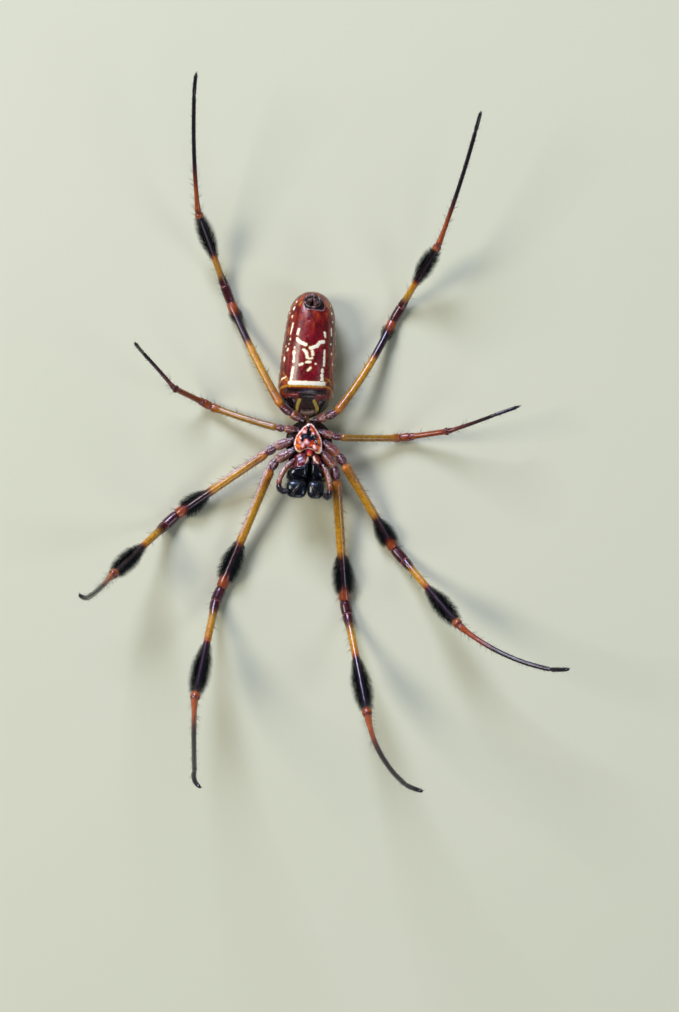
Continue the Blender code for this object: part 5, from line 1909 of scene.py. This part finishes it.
    def _mound(self, seat: Array, outward: Array, data: dict[str, Array]) -> Form:
        """The low mound under one eye."""
        shares = np.array((-0.5, -0.2, -0.05, 0.06, self.mound_height, self.mound_height + 0.1))
        radii = np.array((0.6, 0.52, 0.46, 0.41, 0.38, 0.34))
        path = seat + outward * shares[:, None]
        return self._bare(tube(on_prosoma(path), radii, 24), data)

    def _eye_seats(self) -> list[tuple[str, Array, Array]]:
        """The name, seat and outward direction of each eye, in the body's own line."""
        seats = []
        for row, (v, degrees) in self.eyes.items():
            for side, arch in ((Side.LEFT, 180 - degrees), (Side.RIGHT, degrees)):
                point = self._arch(np.array([v]), np.array([math.radians(arch)]))[0, 0]
                seats.append((f"{row}_{side.word}", point, unit(point - np.array(self.head_centre))))
        return seats

    def _build_eyes(self) -> None:
        """Makes the eight eyes."""
        lens = EyeFinish().made()
        heights = np.array((-0.12, -0.03, 0.0, 0.05, 0.12, 0.19, 0.25, 0.29, 0.305))
        shares = np.array((0.8, 1.0, 1.02, 0.99, 0.9, 0.76, 0.55, 0.3, 0.1))
        for name, seat, outward in self._eye_seats():
            path = seat + outward * (self.mound_height + self.eye_gap + heights)[:, None]
            _, across, upward = carried_frames(path)
            spread = spokes(across[:1], upward[:1], angles(28))
            rings = path[:, None] + self.eye_radius * shares[:, None, None] * spread
            rim = np.repeat(shares[:, None], 28, axis=1)
            form = loft(on_prosoma(rings), data={"rim": rim})
            form.points[:, 2] = np.maximum(form.points[:, 2], 0.0)
            to_piece(form, f"{name}_lens", lens, [name])


def pillow(
    outline: Array,
    centre: Row,
    base_z: float,
    top: Array | float,
    edge: float,
    layers: int = 20,
    roundness: float = 2.4,
) -> tuple[Array, Array]:
    """Rings of a cushion-shaped plate over an outline.

    Args:
        outline: points round it as u and v.
        centre: u and v of its middle.
        base_z: height of its flat underside.
        top: height of its face.
        edge: height at which its face meets its side.
        layers: rings from the edge to the middle.
        roundness: over 1, and larger for a flatter face.

    Returns:
        The rings, and the share of the outline at each.
    """
    shares = np.concatenate([[1.0, 1.0], np.sin(np.linspace(math.pi / 2, 0.03, layers))])
    rings = []
    for k, share in enumerate(shares):
        spot = np.array(centre) + (outline - np.array(centre)) * share
        if k == 0:
            z = np.full(len(outline), base_z)
        elif k == 1:
            z = np.full(len(outline), (base_z + edge) / 2)
        else:
            z = edge + (top - edge) * (1 - share**roundness)
        rings.append(np.column_stack([spot, np.broadcast_to(z, len(outline))]))
    return np.array(rings), shares


STERNUM_LAYERS = (
    PaintLayer("red", "b42208", soft=0.12, ragged=0.5, strength=0.9),
    # Pale pink painted highlights on the sternum's humps.
    PaintLayer("pink", "ecc6cc", soft=0.14, ragged=0.3),
    PaintLayer("navy", "0d1230", soft=0.07, ragged=0.3, roughness=0.25),
    PaintLayer("black", "050408", soft=0.07, ragged=0.25, roughness=0.2),
    PaintLayer("orange", "ee7a10", soft=0.12, ragged=0.3),
    PaintLayer("maroon", "560a06", soft=0.07, ragged=0.16),
    PaintLayer("border", "fbeade", soft=0.06, ragged=0.6, roughness=0.5),
    PaintLayer("corner", "d8c48c", soft=0.1, ragged=0.2),
)


MAXILLA_LAYERS = (
    PaintLayer("umber", "a8481c", soft=0.12, ragged=0.2, strength=0.8),
    # Lilac painted highlights on the maxillae.
    PaintLayer("lilac", "c49cb8", soft=0.12, ragged=0.2, strength=0.85),
    PaintLayer("pale", "f6dcc0", soft=0.08, ragged=0.15),
    PaintLayer("black", "060609", soft=0.05, ragged=0.1, roughness=0.2),
)


STERNUM_MARKS: dict[str, tuple[Mark, ...]] = {
    "red": (
        (-0.35, -11.1, -0.95, -12.0, 0.22), (0.4, -11.2, 1.2, -12.5, 0.26),
        (1.1, -12.4, 1.5, -13.7, 0.26), (-1.75, -12.9, -1.75, -14.1, 0.24),
        (-1.0, -14.0, 0.8, -13.85, 0.45), (0.1, -13.3, 0.6, -13.4, 0.3),
    ),
    "navy": (
        (-0.85, -12.5, 0.8, -12.6, 0.38), (-0.75, -12.7, -0.95, -13.15, 0.24),
        (-0.1, -12.2, 0.0, -12.5, 0.28), (-0.1, -12.7, 0.2, -13.0, 0.22),
    ),
    "black": (
        (-0.14, -11.15, 0.0, -12.15, 0.3), (0.75, -12.75, 1.2, -13.45, 0.3),
        (0.5, -12.6, 0.95, -12.95, 0.28),
    ),
    "orange": (
        (-1.55, -13.9, -1.25, -14.1, 0.26), (1.4, -14.1, 1.6, -14.3, 0.26),
        (1.42, -13.1, 1.5, -13.4, 0.16), (-1.6, -12.95, -1.5, -13.2, 0.16),
        (0.35, -13.85, 0.5, -13.9, 0.16), (0.35, -11.55, 0.45, -11.7, 0.12),
    ),
    "pink": (
        # Painted highlights: pale pink spots laid over the humps.
        (-0.75, -11.85, -0.7, -12.1, 0.22), (0.56, -12.0, 0.6, -12.15, 0.14),
        (-0.3, -13.4, -0.15, -13.5, 0.24), (-1.2, -12.7, -1.0, -12.95, 0.16),
        (0.8, -14.0, 1.0, -14.2, 0.24), (-1.3, -13.5, -0.8, -13.7, 0.16),
        (-0.9, -14.15, -0.7, -14.05, 0.1),
    ),
    "maroon": (
        (-0.45, -14.02, 0.05, -14.18, 0.12), (0.05, -14.18, 0.55, -14.0, 0.12),
        (-1.15, -14.28, -1.0, -14.3, 0.12),
    ),
    "corner": ((-1.5, -14.75, -1.15, -14.85, 0.16), (1.3, -14.85, 1.65, -14.9, 0.16)),
}


MAXILLA_OUTLINES: dict[Side, tuple[Row, ...]] = {
    Side.LEFT: (
        (-0.35, -14.78), (-0.9, -14.85), (-1.5, -15.05), (-1.93, -15.49), (-2.0, -16.2), (-2.15, -16.8),
        (-2.6, -17.3), (-2.95, -17.9), (-3.0, -18.6), (-2.4, -19.05), (-1.0, -19.1), (-0.1, -18.95),
        (0.3, -18.4), (0.38, -17.4), (0.36, -16.4), (0.3, -15.7), (0.0, -15.25),
    ),
    Side.RIGHT: (
        (0.75, -14.9), (1.3, -15.1), (1.75, -15.5), (2.0, -16.2), (2.08, -16.9), (2.55, -17.7),
        (2.62, -18.4), (2.35, -18.9), (1.2, -19.0), (0.65, -18.8), (0.46, -18.2), (0.42, -17.0),
        (0.42, -16.2), (0.55, -15.6), (0.65, -15.2),
    ),
}


LOBE_EDGES: dict[Side, tuple[Row, ...]] = {
    Side.LEFT: (
        (-2.5, -17.4), (-2.03, -17.23), (-1.59, -17.05), (-0.57, -16.84), (0.05, -16.22), (0.4, -15.55),
    ),
    Side.RIGHT: ((0.4, -15.55), (0.77, -16.45), (1.42, -16.54), (2.09, -17.02), (2.5, -17.7)),
}


# The lilac marks are painted highlights on the plates.
MAXILLA_MARKS: dict[Side, dict[str, tuple[Mark, ...]]] = {
    Side.LEFT: {
        "pale": ((0.0, -15.5, -0.08, -16.05, 0.13), (-0.08, -16.05, -0.3, -16.4, 0.08)),
        "lilac": ((-1.11, -16.29, -0.54, -16.08, 0.16), (-1.5, -15.5, -1.2, -15.3, 0.14)),
        "umber": ((-0.5, -15.6, -0.35, -16.2, 0.14),),
    },
    Side.RIGHT: {
        "pale": ((0.82, -15.5, 1.05, -16.0, 0.15), (1.05, -16.0, 1.5, -16.35, 0.1)),
        "lilac": ((1.9, -16.2, 2.0, -16.5, 0.1),),
        "umber": ((1.15, -15.6, 1.6, -16.1, 0.12),),
    },
}


@dataclass
class Breast:
    """The sternum, the labium and the two maxillae in front of it."""

    outline: tuple[Row, ...] = (
        (-0.05, -10.6), (-0.62, -10.95), (-1.2, -11.5), (-1.65, -12.1), (-2.02, -12.85),
        (-2.18, -13.6), (-2.1, -14.2), (-1.75, -14.75), (-1.2, -14.95), (-0.7, -14.62),
        (0.05, -14.42), (0.75, -14.62), (1.25, -15.0), (1.72, -14.95), (2.0, -14.2),
        (1.98, -13.4), (1.72, -12.6), (1.3, -11.8), (0.75, -11.1), (0.25, -10.65),
    )
    centre: Row = (0.0, -13.1)
    base_z: float = 3.7
    edge_z: float = 4.95
    top_z: float = 5.4
    humps: tuple[Row, ...] = (
        (-0.85, -14.25, 0.34), (0.95, -14.25, 0.36), (-1.3, -13.4, 0.32), (1.3, -13.4, 0.32),
        (-0.85, -12.3, 0.32), (0.8, -12.35, 0.3), (-0.4, -11.6, 0.22), (0.4, -11.65, 0.22),
        (-0.25, -13.45, 0.26),
    )
    hump_radius: float = 0.6
    marks: dict[str, tuple[Mark, ...]] = field(default_factory=lambda: STERNUM_MARKS)
    labium_outline: tuple[Row, ...] = (
        (0.1, -14.45), (-0.45, -14.55), (-0.6, -14.85), (-0.4, -15.2), (-0.05, -15.5),
        (0.35, -15.72), (0.6, -15.5), (0.78, -15.2), (0.8, -14.85), (0.6, -14.6),
    )
    maxilla_outlines: dict[Side, tuple[Row, ...]] = field(default_factory=lambda: MAXILLA_OUTLINES)
    lobe_edges: dict[Side, tuple[Row, ...]] = field(default_factory=lambda: LOBE_EDGES)
    maxilla_marks: dict[Side, dict[str, tuple[Mark, ...]]] = field(default_factory=lambda: MAXILLA_MARKS)
    lobe_rise: float = 0.3
    points_round: int = 96

    def build(self) -> None:
        """Makes the sternum and the mouth plates."""
        self._build_sternum()
        self._build_labium()
        for side in Side:
            self._build_maxilla(side)

    def _build_sternum(self) -> None:
        """Makes the shield-shaped sternum with its humps and painted cross."""
        outline = smooth_outline(self.outline, self.points_round)
        rings, shares = pillow(outline, self.centre, self.base_z, self.top_z, self.edge_z, 26, 3.0)
        u, v, _ = np.moveaxis(rings, -1, 0)
        inner = np.clip((1 - shares) * 4, 0, 1)[:, None]
        for hump_u, hump_v, height in self.humps:
            away = np.hypot(u - hump_u, v - hump_v) / self.hump_radius
            rings[..., 2] += inner * height * np.clip(1 - away**2, 0, None) ** 2
        data = {name: mark_distance(u, v, marks) for name, marks in self.marks.items()}
        reach = np.linalg.norm(outline - np.array(self.centre), axis=1)
        inset = (1 - shares)[:, None] * reach[None]
        data["border"] = np.abs(inset - 0.17) - 0.07
        data["maroon"] = np.minimum(data["maroon"], inset - 0.07)
        finish = PaintedFinish(
            "sternum_plate", ((0.0, "9a2408"), (0.4, "c8440c"), (0.7, "d86a2c"), (1.0, "d89a90")),
            STERNUM_LAYERS, mottle=2.4, grain=7.0, roughness=0.32, coat=0.5, depth=0.025, scatter=0.1,
        )
        form = loft(on_prosoma(rings), data=data)
        to_piece(form, "sternum_plate", finish.made(), ["sternum"])

    def _build_labium(self) -> None:
        """Makes the red lip plate."""
        outline = smooth_outline(self.labium_outline, 48)
        rings, _ = pillow(outline, (0.15, -15.0), 3.8, 5.65, 4.9, 16)
        marks = {
            "red": ((0.2, -14.75, 0.25, -14.85, 0.26),),
            "orange": ((0.0, -15.15, 0.3, -15.2, 0.16),),
            "navy": ((-0.4, -14.8, -0.42, -14.9, 0.16), (0.3, -15.6, 0.34, -15.75, 0.2)),
        }
        data = {name: mark_distance(rings[..., 0], rings[..., 1], m) for name, m in marks.items()}
        layers = (
            PaintLayer("red", "d81428", soft=0.1), PaintLayer("orange", "f08a3a", soft=0.1),
            PaintLayer("navy", "10142c", soft=0.08),
        )
        finish = PaintedFinish(
            "labium_plate", ((0.0, "4a0c10"), (1.0, "84202a")), layers, mottle=2.5, roughness=0.25,
        )
        to_piece(loft(on_prosoma(rings), data=data), "labium_plate", finish.made(), ["labium"])

    def _build_maxilla(self, side: Side) -> None:
        """Makes one maxilla: a wine-coloured base, a pale inner edge and a swollen black lobe."""
        outline = smooth_outline(self.maxilla_outlines[side], 72)
        rings, _ = pillow(outline, (side.value * 1.05, -17.2), 3.75, 5.7, 4.7, 26, 3.2)
        u, v, z = np.moveaxis(rings, -1, 0)
        edge = np.array(self.lobe_edges[side])
        data = {name: mark_distance(u, v, marks) for name, marks in self.maxilla_marks[side].items()}
        data["black"] = v - np.interp(u, edge[:, 0], edge[:, 1])
        z += self.lobe_rise * smooth_step(0.05, -0.3, data["black"]) * (z > 4.8)
        finish = PaintedFinish(
            "maxilla_plate", ((0.0, "3c0a12"), (0.6, "62161e"), (1.0, "7c2c34")), MAXILLA_LAYERS,
            mottle=1.8, roughness=0.22, coat=0.8, specular="b8dcff",
        )
        name = f"maxilla_{side.word}"
        to_piece(loft(on_prosoma(rings), data=data), f"{name}_plate", finish.made(), [name])


@dataclass
class Jaws:
    """The two stout jaws with their fangs."""

    coats: CoatTree
    bristles: Material
    middles: dict[Side, Row] = field(
        default_factory=lambda: {Side.LEFT: (-1.4, 1.21), Side.RIGHT: (1.34, 0.97)}
    )
    fang_middle: float = -0.1
    sides: int = 56
    boxiness: float = 0.68
    rows: tuple[Row, ...] = (
        (3.6, -19.5, 1.0, 0.95), (4.1, -19.55, 1.2, 1.15), (5.2, -19.85, 1.25, 1.35),
        (6.1, -20.15, 1.24, 1.36), (6.5, -20.25, 1.14, 1.25), (6.8, -20.32, 0.85, 0.95),
        (6.95, -20.35, 0.4, 0.45),
    )
    fang_rows: tuple[Row, ...] = (
        (1.78, -20.95, 7.25, 0.27), (1.72, -20.75, 7.5, 0.27), (1.45, -20.35, 7.6, 0.25),
        (0.95, -19.75, 7.5, 0.19), (0.62, -19.45, 7.3, 0.1), (0.45, -19.3, 7.15, 0.04),
    )

    def build(self) -> None:
        """Makes both jaws and both fangs."""
        finish = PaintedFinish(
            "jaw_black", ((0.0, "040406"), (0.6, "08080c"), (1.0, "120e12")), mottle=1.0, grain=6.0,
            pits=0.8, roughness=0.3, coat=0.6, specular="b8e0ff", depth=0.03,
        )
        fang_finish = PaintedFinish(
            "fang_dark", ((0.0, "060304"), (0.6, "100506"), (1.0, "22090a")), stretch=(1.0, 1.0, 3.0),
            mottle=1.5, grain=5.0, pits=0.1, roughness=0.32, coat=0.3, depth=0.008,
        )
        z = np.linspace(self.rows[0][0], self.rows[-1][0], 34)
        values = Profile(self.rows).at(z)
        turns = angles(self.sides)
        level = np.repeat(z[:, None], self.sides, axis=1)
        centre, half_width, half_depth = values.T[:, :, None]
        v = centre + half_depth * squared(np.sin(turns), self.boxiness)
        for side in Side:
            middle, stretch = self.middles[side]
            u = middle + half_width * stretch * squared(np.cos(turns), self.boxiness)
            rings = np.stack([u, v, level], axis=-1)
            data = {
                "lie": np.broadcast_to((0.0, 0.0, 1.0), rings.shape),
                "seta": smooth_step(4.2, 5.0, level),
                "seta_length": np.full(level.shape, 0.5 * METRES_PER_MM),
            }
            name = f"chelicera_{side.word}"
            form = loft(on_prosoma(rings), data=data)
            jaw = to_piece(form, f"{name}_jaw", finish.made(), [name])
            coat = Coat("seta", 6.0, 0.03, -0.15, 0.8, 0.8, 0.25, 0.2, 2, 71 + side.value)
            self.coats.grow(jaw, coat, self.bristles, f"{name}_bristles", Slot.JAW)
            path = smooth_path(self.fang_rows, 22)
            points = path[:, :3] * np.array((side.value, 1.0, 1.0)) + np.array((self.fang_middle, 0, 0))
            form = tube(on_prosoma(points), path[:, 3], 18)
            name = f"fang_{side.word}"
            to_piece(form, f"{name}_curve", fang_finish.made(), [name])


PALP_STOPS: Stops = (
    (0.0, "3a120a"), (0.1, "6a2c0e"), (0.2, "8a4a12"), (0.5, "9a5c14"), (0.6, "8a4410"),
    (0.66, "30100c"), (0.75, "0e090c"), (1.0, "08070a"),
)


@dataclass(frozen=True)
class PalpFinish(Finish):
    """Orange-brown palps with a black last joint, and pale patches of down and painted highlight on their
    outer face.
    """

    name: str = "palp_skin"

    def paint(self, canvas: NodeCanvas, place: Socket) -> None:
        """Feeds the shader."""
        along = canvas.parts(canvas.attribute(SKIN_MAP, "Vector"))[1]
        skin = canvas.group(Effects.cuticle(), place=place, grain=9.0, pits=0.3)
        # Painted highlight: pale patches where the palp faces up and outwards, towards the light.
        lit = canvas.rise(canvas.attribute("outer"), 0.1, 0.7)
        patches = canvas.rise(canvas.noise(place, 4.6, 3.0), 0.44, 0.6)
        cover = canvas.times(lit, canvas.fall(along, 0.52, 0.6), patches)
        canvas.shade(
            base_color=canvas.mixed(cover, canvas.ramp(along, PALP_STOPS), "c8b6bc"),
            roughness=canvas.plus(canvas.times(skin["Tone"], 0.2), 0.22),
            coat_weight=0.5, coat_roughness=0.15, specular_tint="c8c8ff",
        )
        canvas.bump(skin["Height"], 0.02)


PALP_JOINTS: dict[Side, tuple[Row, ...]] = {
    Side.LEFT: (
        (-2.1, -15.9, 4.6, 0.3), (-2.5, -16.3, 4.75, 0.36), (-3.1, -16.8, 4.95, 0.4),
        (-3.75, -17.7, 5.3, 0.42), (-4.25, -18.9, 5.7, 0.38), (-4.35, -19.7, 6.0, 0.38),
        (-4.1, -20.25, 6.35, 0.42), (-3.5, -20.5, 6.9, 0.44), (-2.9, -20.3, 7.35, 0.2),
    ),
    Side.RIGHT: (
        (1.9, -16.7, 5.1, 0.26), (2.15, -17.05, 5.3, 0.3), (2.5, -17.75, 5.45, 0.38),
        (2.8, -18.6, 5.6, 0.4), (2.95, -19.4, 5.8, 0.38), (3.05, -20.3, 6.0, 0.38),
        (2.95, -21.1, 6.3, 0.42), (2.6, -21.3, 6.9, 0.44), (2.1, -20.9, 7.5, 0.2),
    ),
}


@dataclass
class Palps:
    """The two short feelers beside the jaws."""

    coats: CoatTree
    bristles: Material
    joints: dict[Side, tuple[Row, ...]] = field(default_factory=lambda: PALP_JOINTS)
    grooves: Row = (0.12, 0.24, 0.5, 0.64)

    def build(self) -> None:
        """Makes both palps."""
        finish = PalpFinish().made()
        for side, rows in self.joints.items():
            path = smooth_path(rows, 90)
            share = np.linspace(0, 1, len(path))
            radii = path[:, 3].copy()
            for groove in self.grooves:
                radii *= 1 - 0.2 * bell(share - groove, 0.012)
            form = tube(path[:, :3], radii, 28)
            centres = np.concatenate([np.repeat(path[:, :3], 28, axis=0), path[[0, -1], :3]])
            away = unit(form.points - centres)
            outer = away @ unit(np.array((float(side.value) * 0.7, 0.35, 0.6)))
            dark = np.concatenate([np.repeat(share, 28), [0.0, 1.0]])
            form.data["outer"] = outer[:, None]
            form.data["seta"] = (0.5 + 1.5 * smooth_step(0.5, 0.7, dark))[:, None]
            form.data["seta_length"] = np.full((len(outer), 1), 0.5 * METRES_PER_MM)
            name = f"pedipalp_{side.word}"
            skin = to_piece(form, f"{name}_skin", finish, [name])
            coat = Coat("seta", 9.0, 0.03, -0.12, 0.7, 0.9, 0.2, 0.2, 2, 83 + side.value)
            self.coats.grow(skin, coat, self.bristles, f"{name}_bristles", Slot.PALP)


@dataclass
class Studio:
    """The pale floor, the soft lights and the camera."""

    camera_place: Row = (4.4225, -22.62, 529.0)
    sensor: float = 36.0
    view_height: float = 146.74
    view_distance: float = 525.0
    floor_half: float = 2500.0
    lights: tuple[tuple[str, Row, Row, float, str], ...] = (
        ("sky_window", (-290.0, 760.0, 600.0), (0.0, -10.0, 4.0), 10.0, "e4e6ff"),
        ("key_left", (-760.0, 110.0, 760.0), (0.0, -20.0, 4.0), 6.2, "fff4e4"),
        ("fill_right", (780.0, -290.0, 690.0), (0.0, -20.0, 4.0), 1.7, "f0f4ff"),
        ("front_low", (110.0, -830.0, 435.0), (0.0, -30.0, 4.0), 1.2, "ffffff"),
    )
    light_size: float = 410.0
    world: str = "c8d0dc"
    world_strength: float = 0.12

    def build(self) -> None:
        """Makes the floor, the lights, the sky and the camera."""
        self._build_floor()
        for name, place, aim, power, colour in self.lights:
            self._build_light(name, place, aim, power, colour)
        world = bpy.data.worlds.new("studio_sky")
        world.use_nodes = True
        sky = world.node_tree.nodes["Background"]
        sky.inputs["Color"].default_value = linear(self.world)
        sky.inputs["Strength"].default_value = self.world_strength
        bpy.context.scene.world = world
        bpy.context.scene.view_settings.view_transform = "Standard"
        self._build_camera()

    def _build_floor(self) -> None:
        """Makes the plain floor."""
        half = self.floor_half * METRES_PER_MM
        mesh = bpy.data.meshes.new("floor")
        corners = [(-half, -half, 0.0), (half, -half, 0.0), (half, half, 0.0), (-half, half, 0.0)]
        mesh.from_pydata(corners, [], [(0, 1, 2, 3)])
        mesh.materials.append(FloorFinish().made())
        placed("floor", mesh)

    def _build_light(self, name: str, place: Row, aim: Row, power: float, colour: str) -> None:
        """Makes one large soft light.

        Args:
            name: its name.
            place: where it hangs, in millimetres.
            aim: what it faces.
            power: its strength in watts.
            colour: its screen colour.
        """
        light = bpy.data.lights.new(name, "AREA")
        light.shape = "DISK"
        light.size = self.light_size * METRES_PER_MM
        light.energy = power
        light.color = linear(colour)[:3]
        lamp = placed(name, light, place)
        lamp.rotation_euler = (Vector(aim) - Vector(place)).to_track_quat("-Z", "Y").to_euler()

    def _build_camera(self) -> None:
        """Makes the camera, which looks straight down."""
        camera = bpy.data.cameras.new("portrait")
        camera.sensor_width = self.sensor
        camera.lens = self.sensor * self.view_distance / self.view_height
        camera.clip_start = 0.01
        camera.clip_end = 10.0
        bpy.context.scene.camera = placed("portrait", camera, self.camera_place)


def leg_finishes() -> dict[str, LegFinish]:
    """The finish of each leg, by its name."""
    finishes = {}
    # The left legs get a larger share of pale down than the right: painted highlight on the side the light
    # falls from.
    for side, share in ((Side.LEFT, 0.95), (Side.RIGHT, 0.6)):
        brushed = LegFinish(f"leg_brushed_{side.word}", BRUSHED_NEAR, BRUSHED_FAR, 2.62, share)
        plain = LegFinish(f"leg_plain_{side.word}", PLAIN_NEAR, PLAIN_FAR, 2.5, share * 0.7)
        rear = LegFinish(f"leg_rear_{side.word}", BRUSHED_NEAR, BRUSHED_FAR, 2.62, 0.3)
        finishes[f"leg_1_{side.word}"] = brushed
        finishes[f"leg_2_{side.word}"] = brushed
        finishes[f"leg_4_{side.word}"] = rear
        finishes[f"leg_3_{side.word}"] = plain
    return finishes


def main() -> None:
    """Builds the studio and every piece of the animal."""
    logging.basicConfig(level=logging.INFO, format="%(name)s %(message)s")
    Studio().build()
    coats = CoatTree()
    bristles = BristleFinish("bristle_black", "060809", "1c2c2c", 1.0).made()
    shield_down = BristleFinish("down_silver", "b8b4ac", "e8e4dc", 1.0, roughness=0.45).made()
    gold_down = BristleFinish("down_gold", "7a5a28", "b89a60", 1.0, roughness=0.4).made()
    for name, finish in leg_finishes().items():
        down_name = f"down_{finish.name}"
        down = BristleFinish(down_name, "a898b0", "dccfe0", 0.72, finish.marking(), 0.4).made()
        Leg(name, finish, coats, bristles, down).build()
    Abdomen(coats, gold_down).build()
    Spinnerets().build()
    Waist().build()
    Carapace(coats, shield_down, bristles).build()
    Breast().build()
    Jaws(coats, bristles).build()
    Palps(coats, bristles).build()


if __name__ == "__main__":
    main()
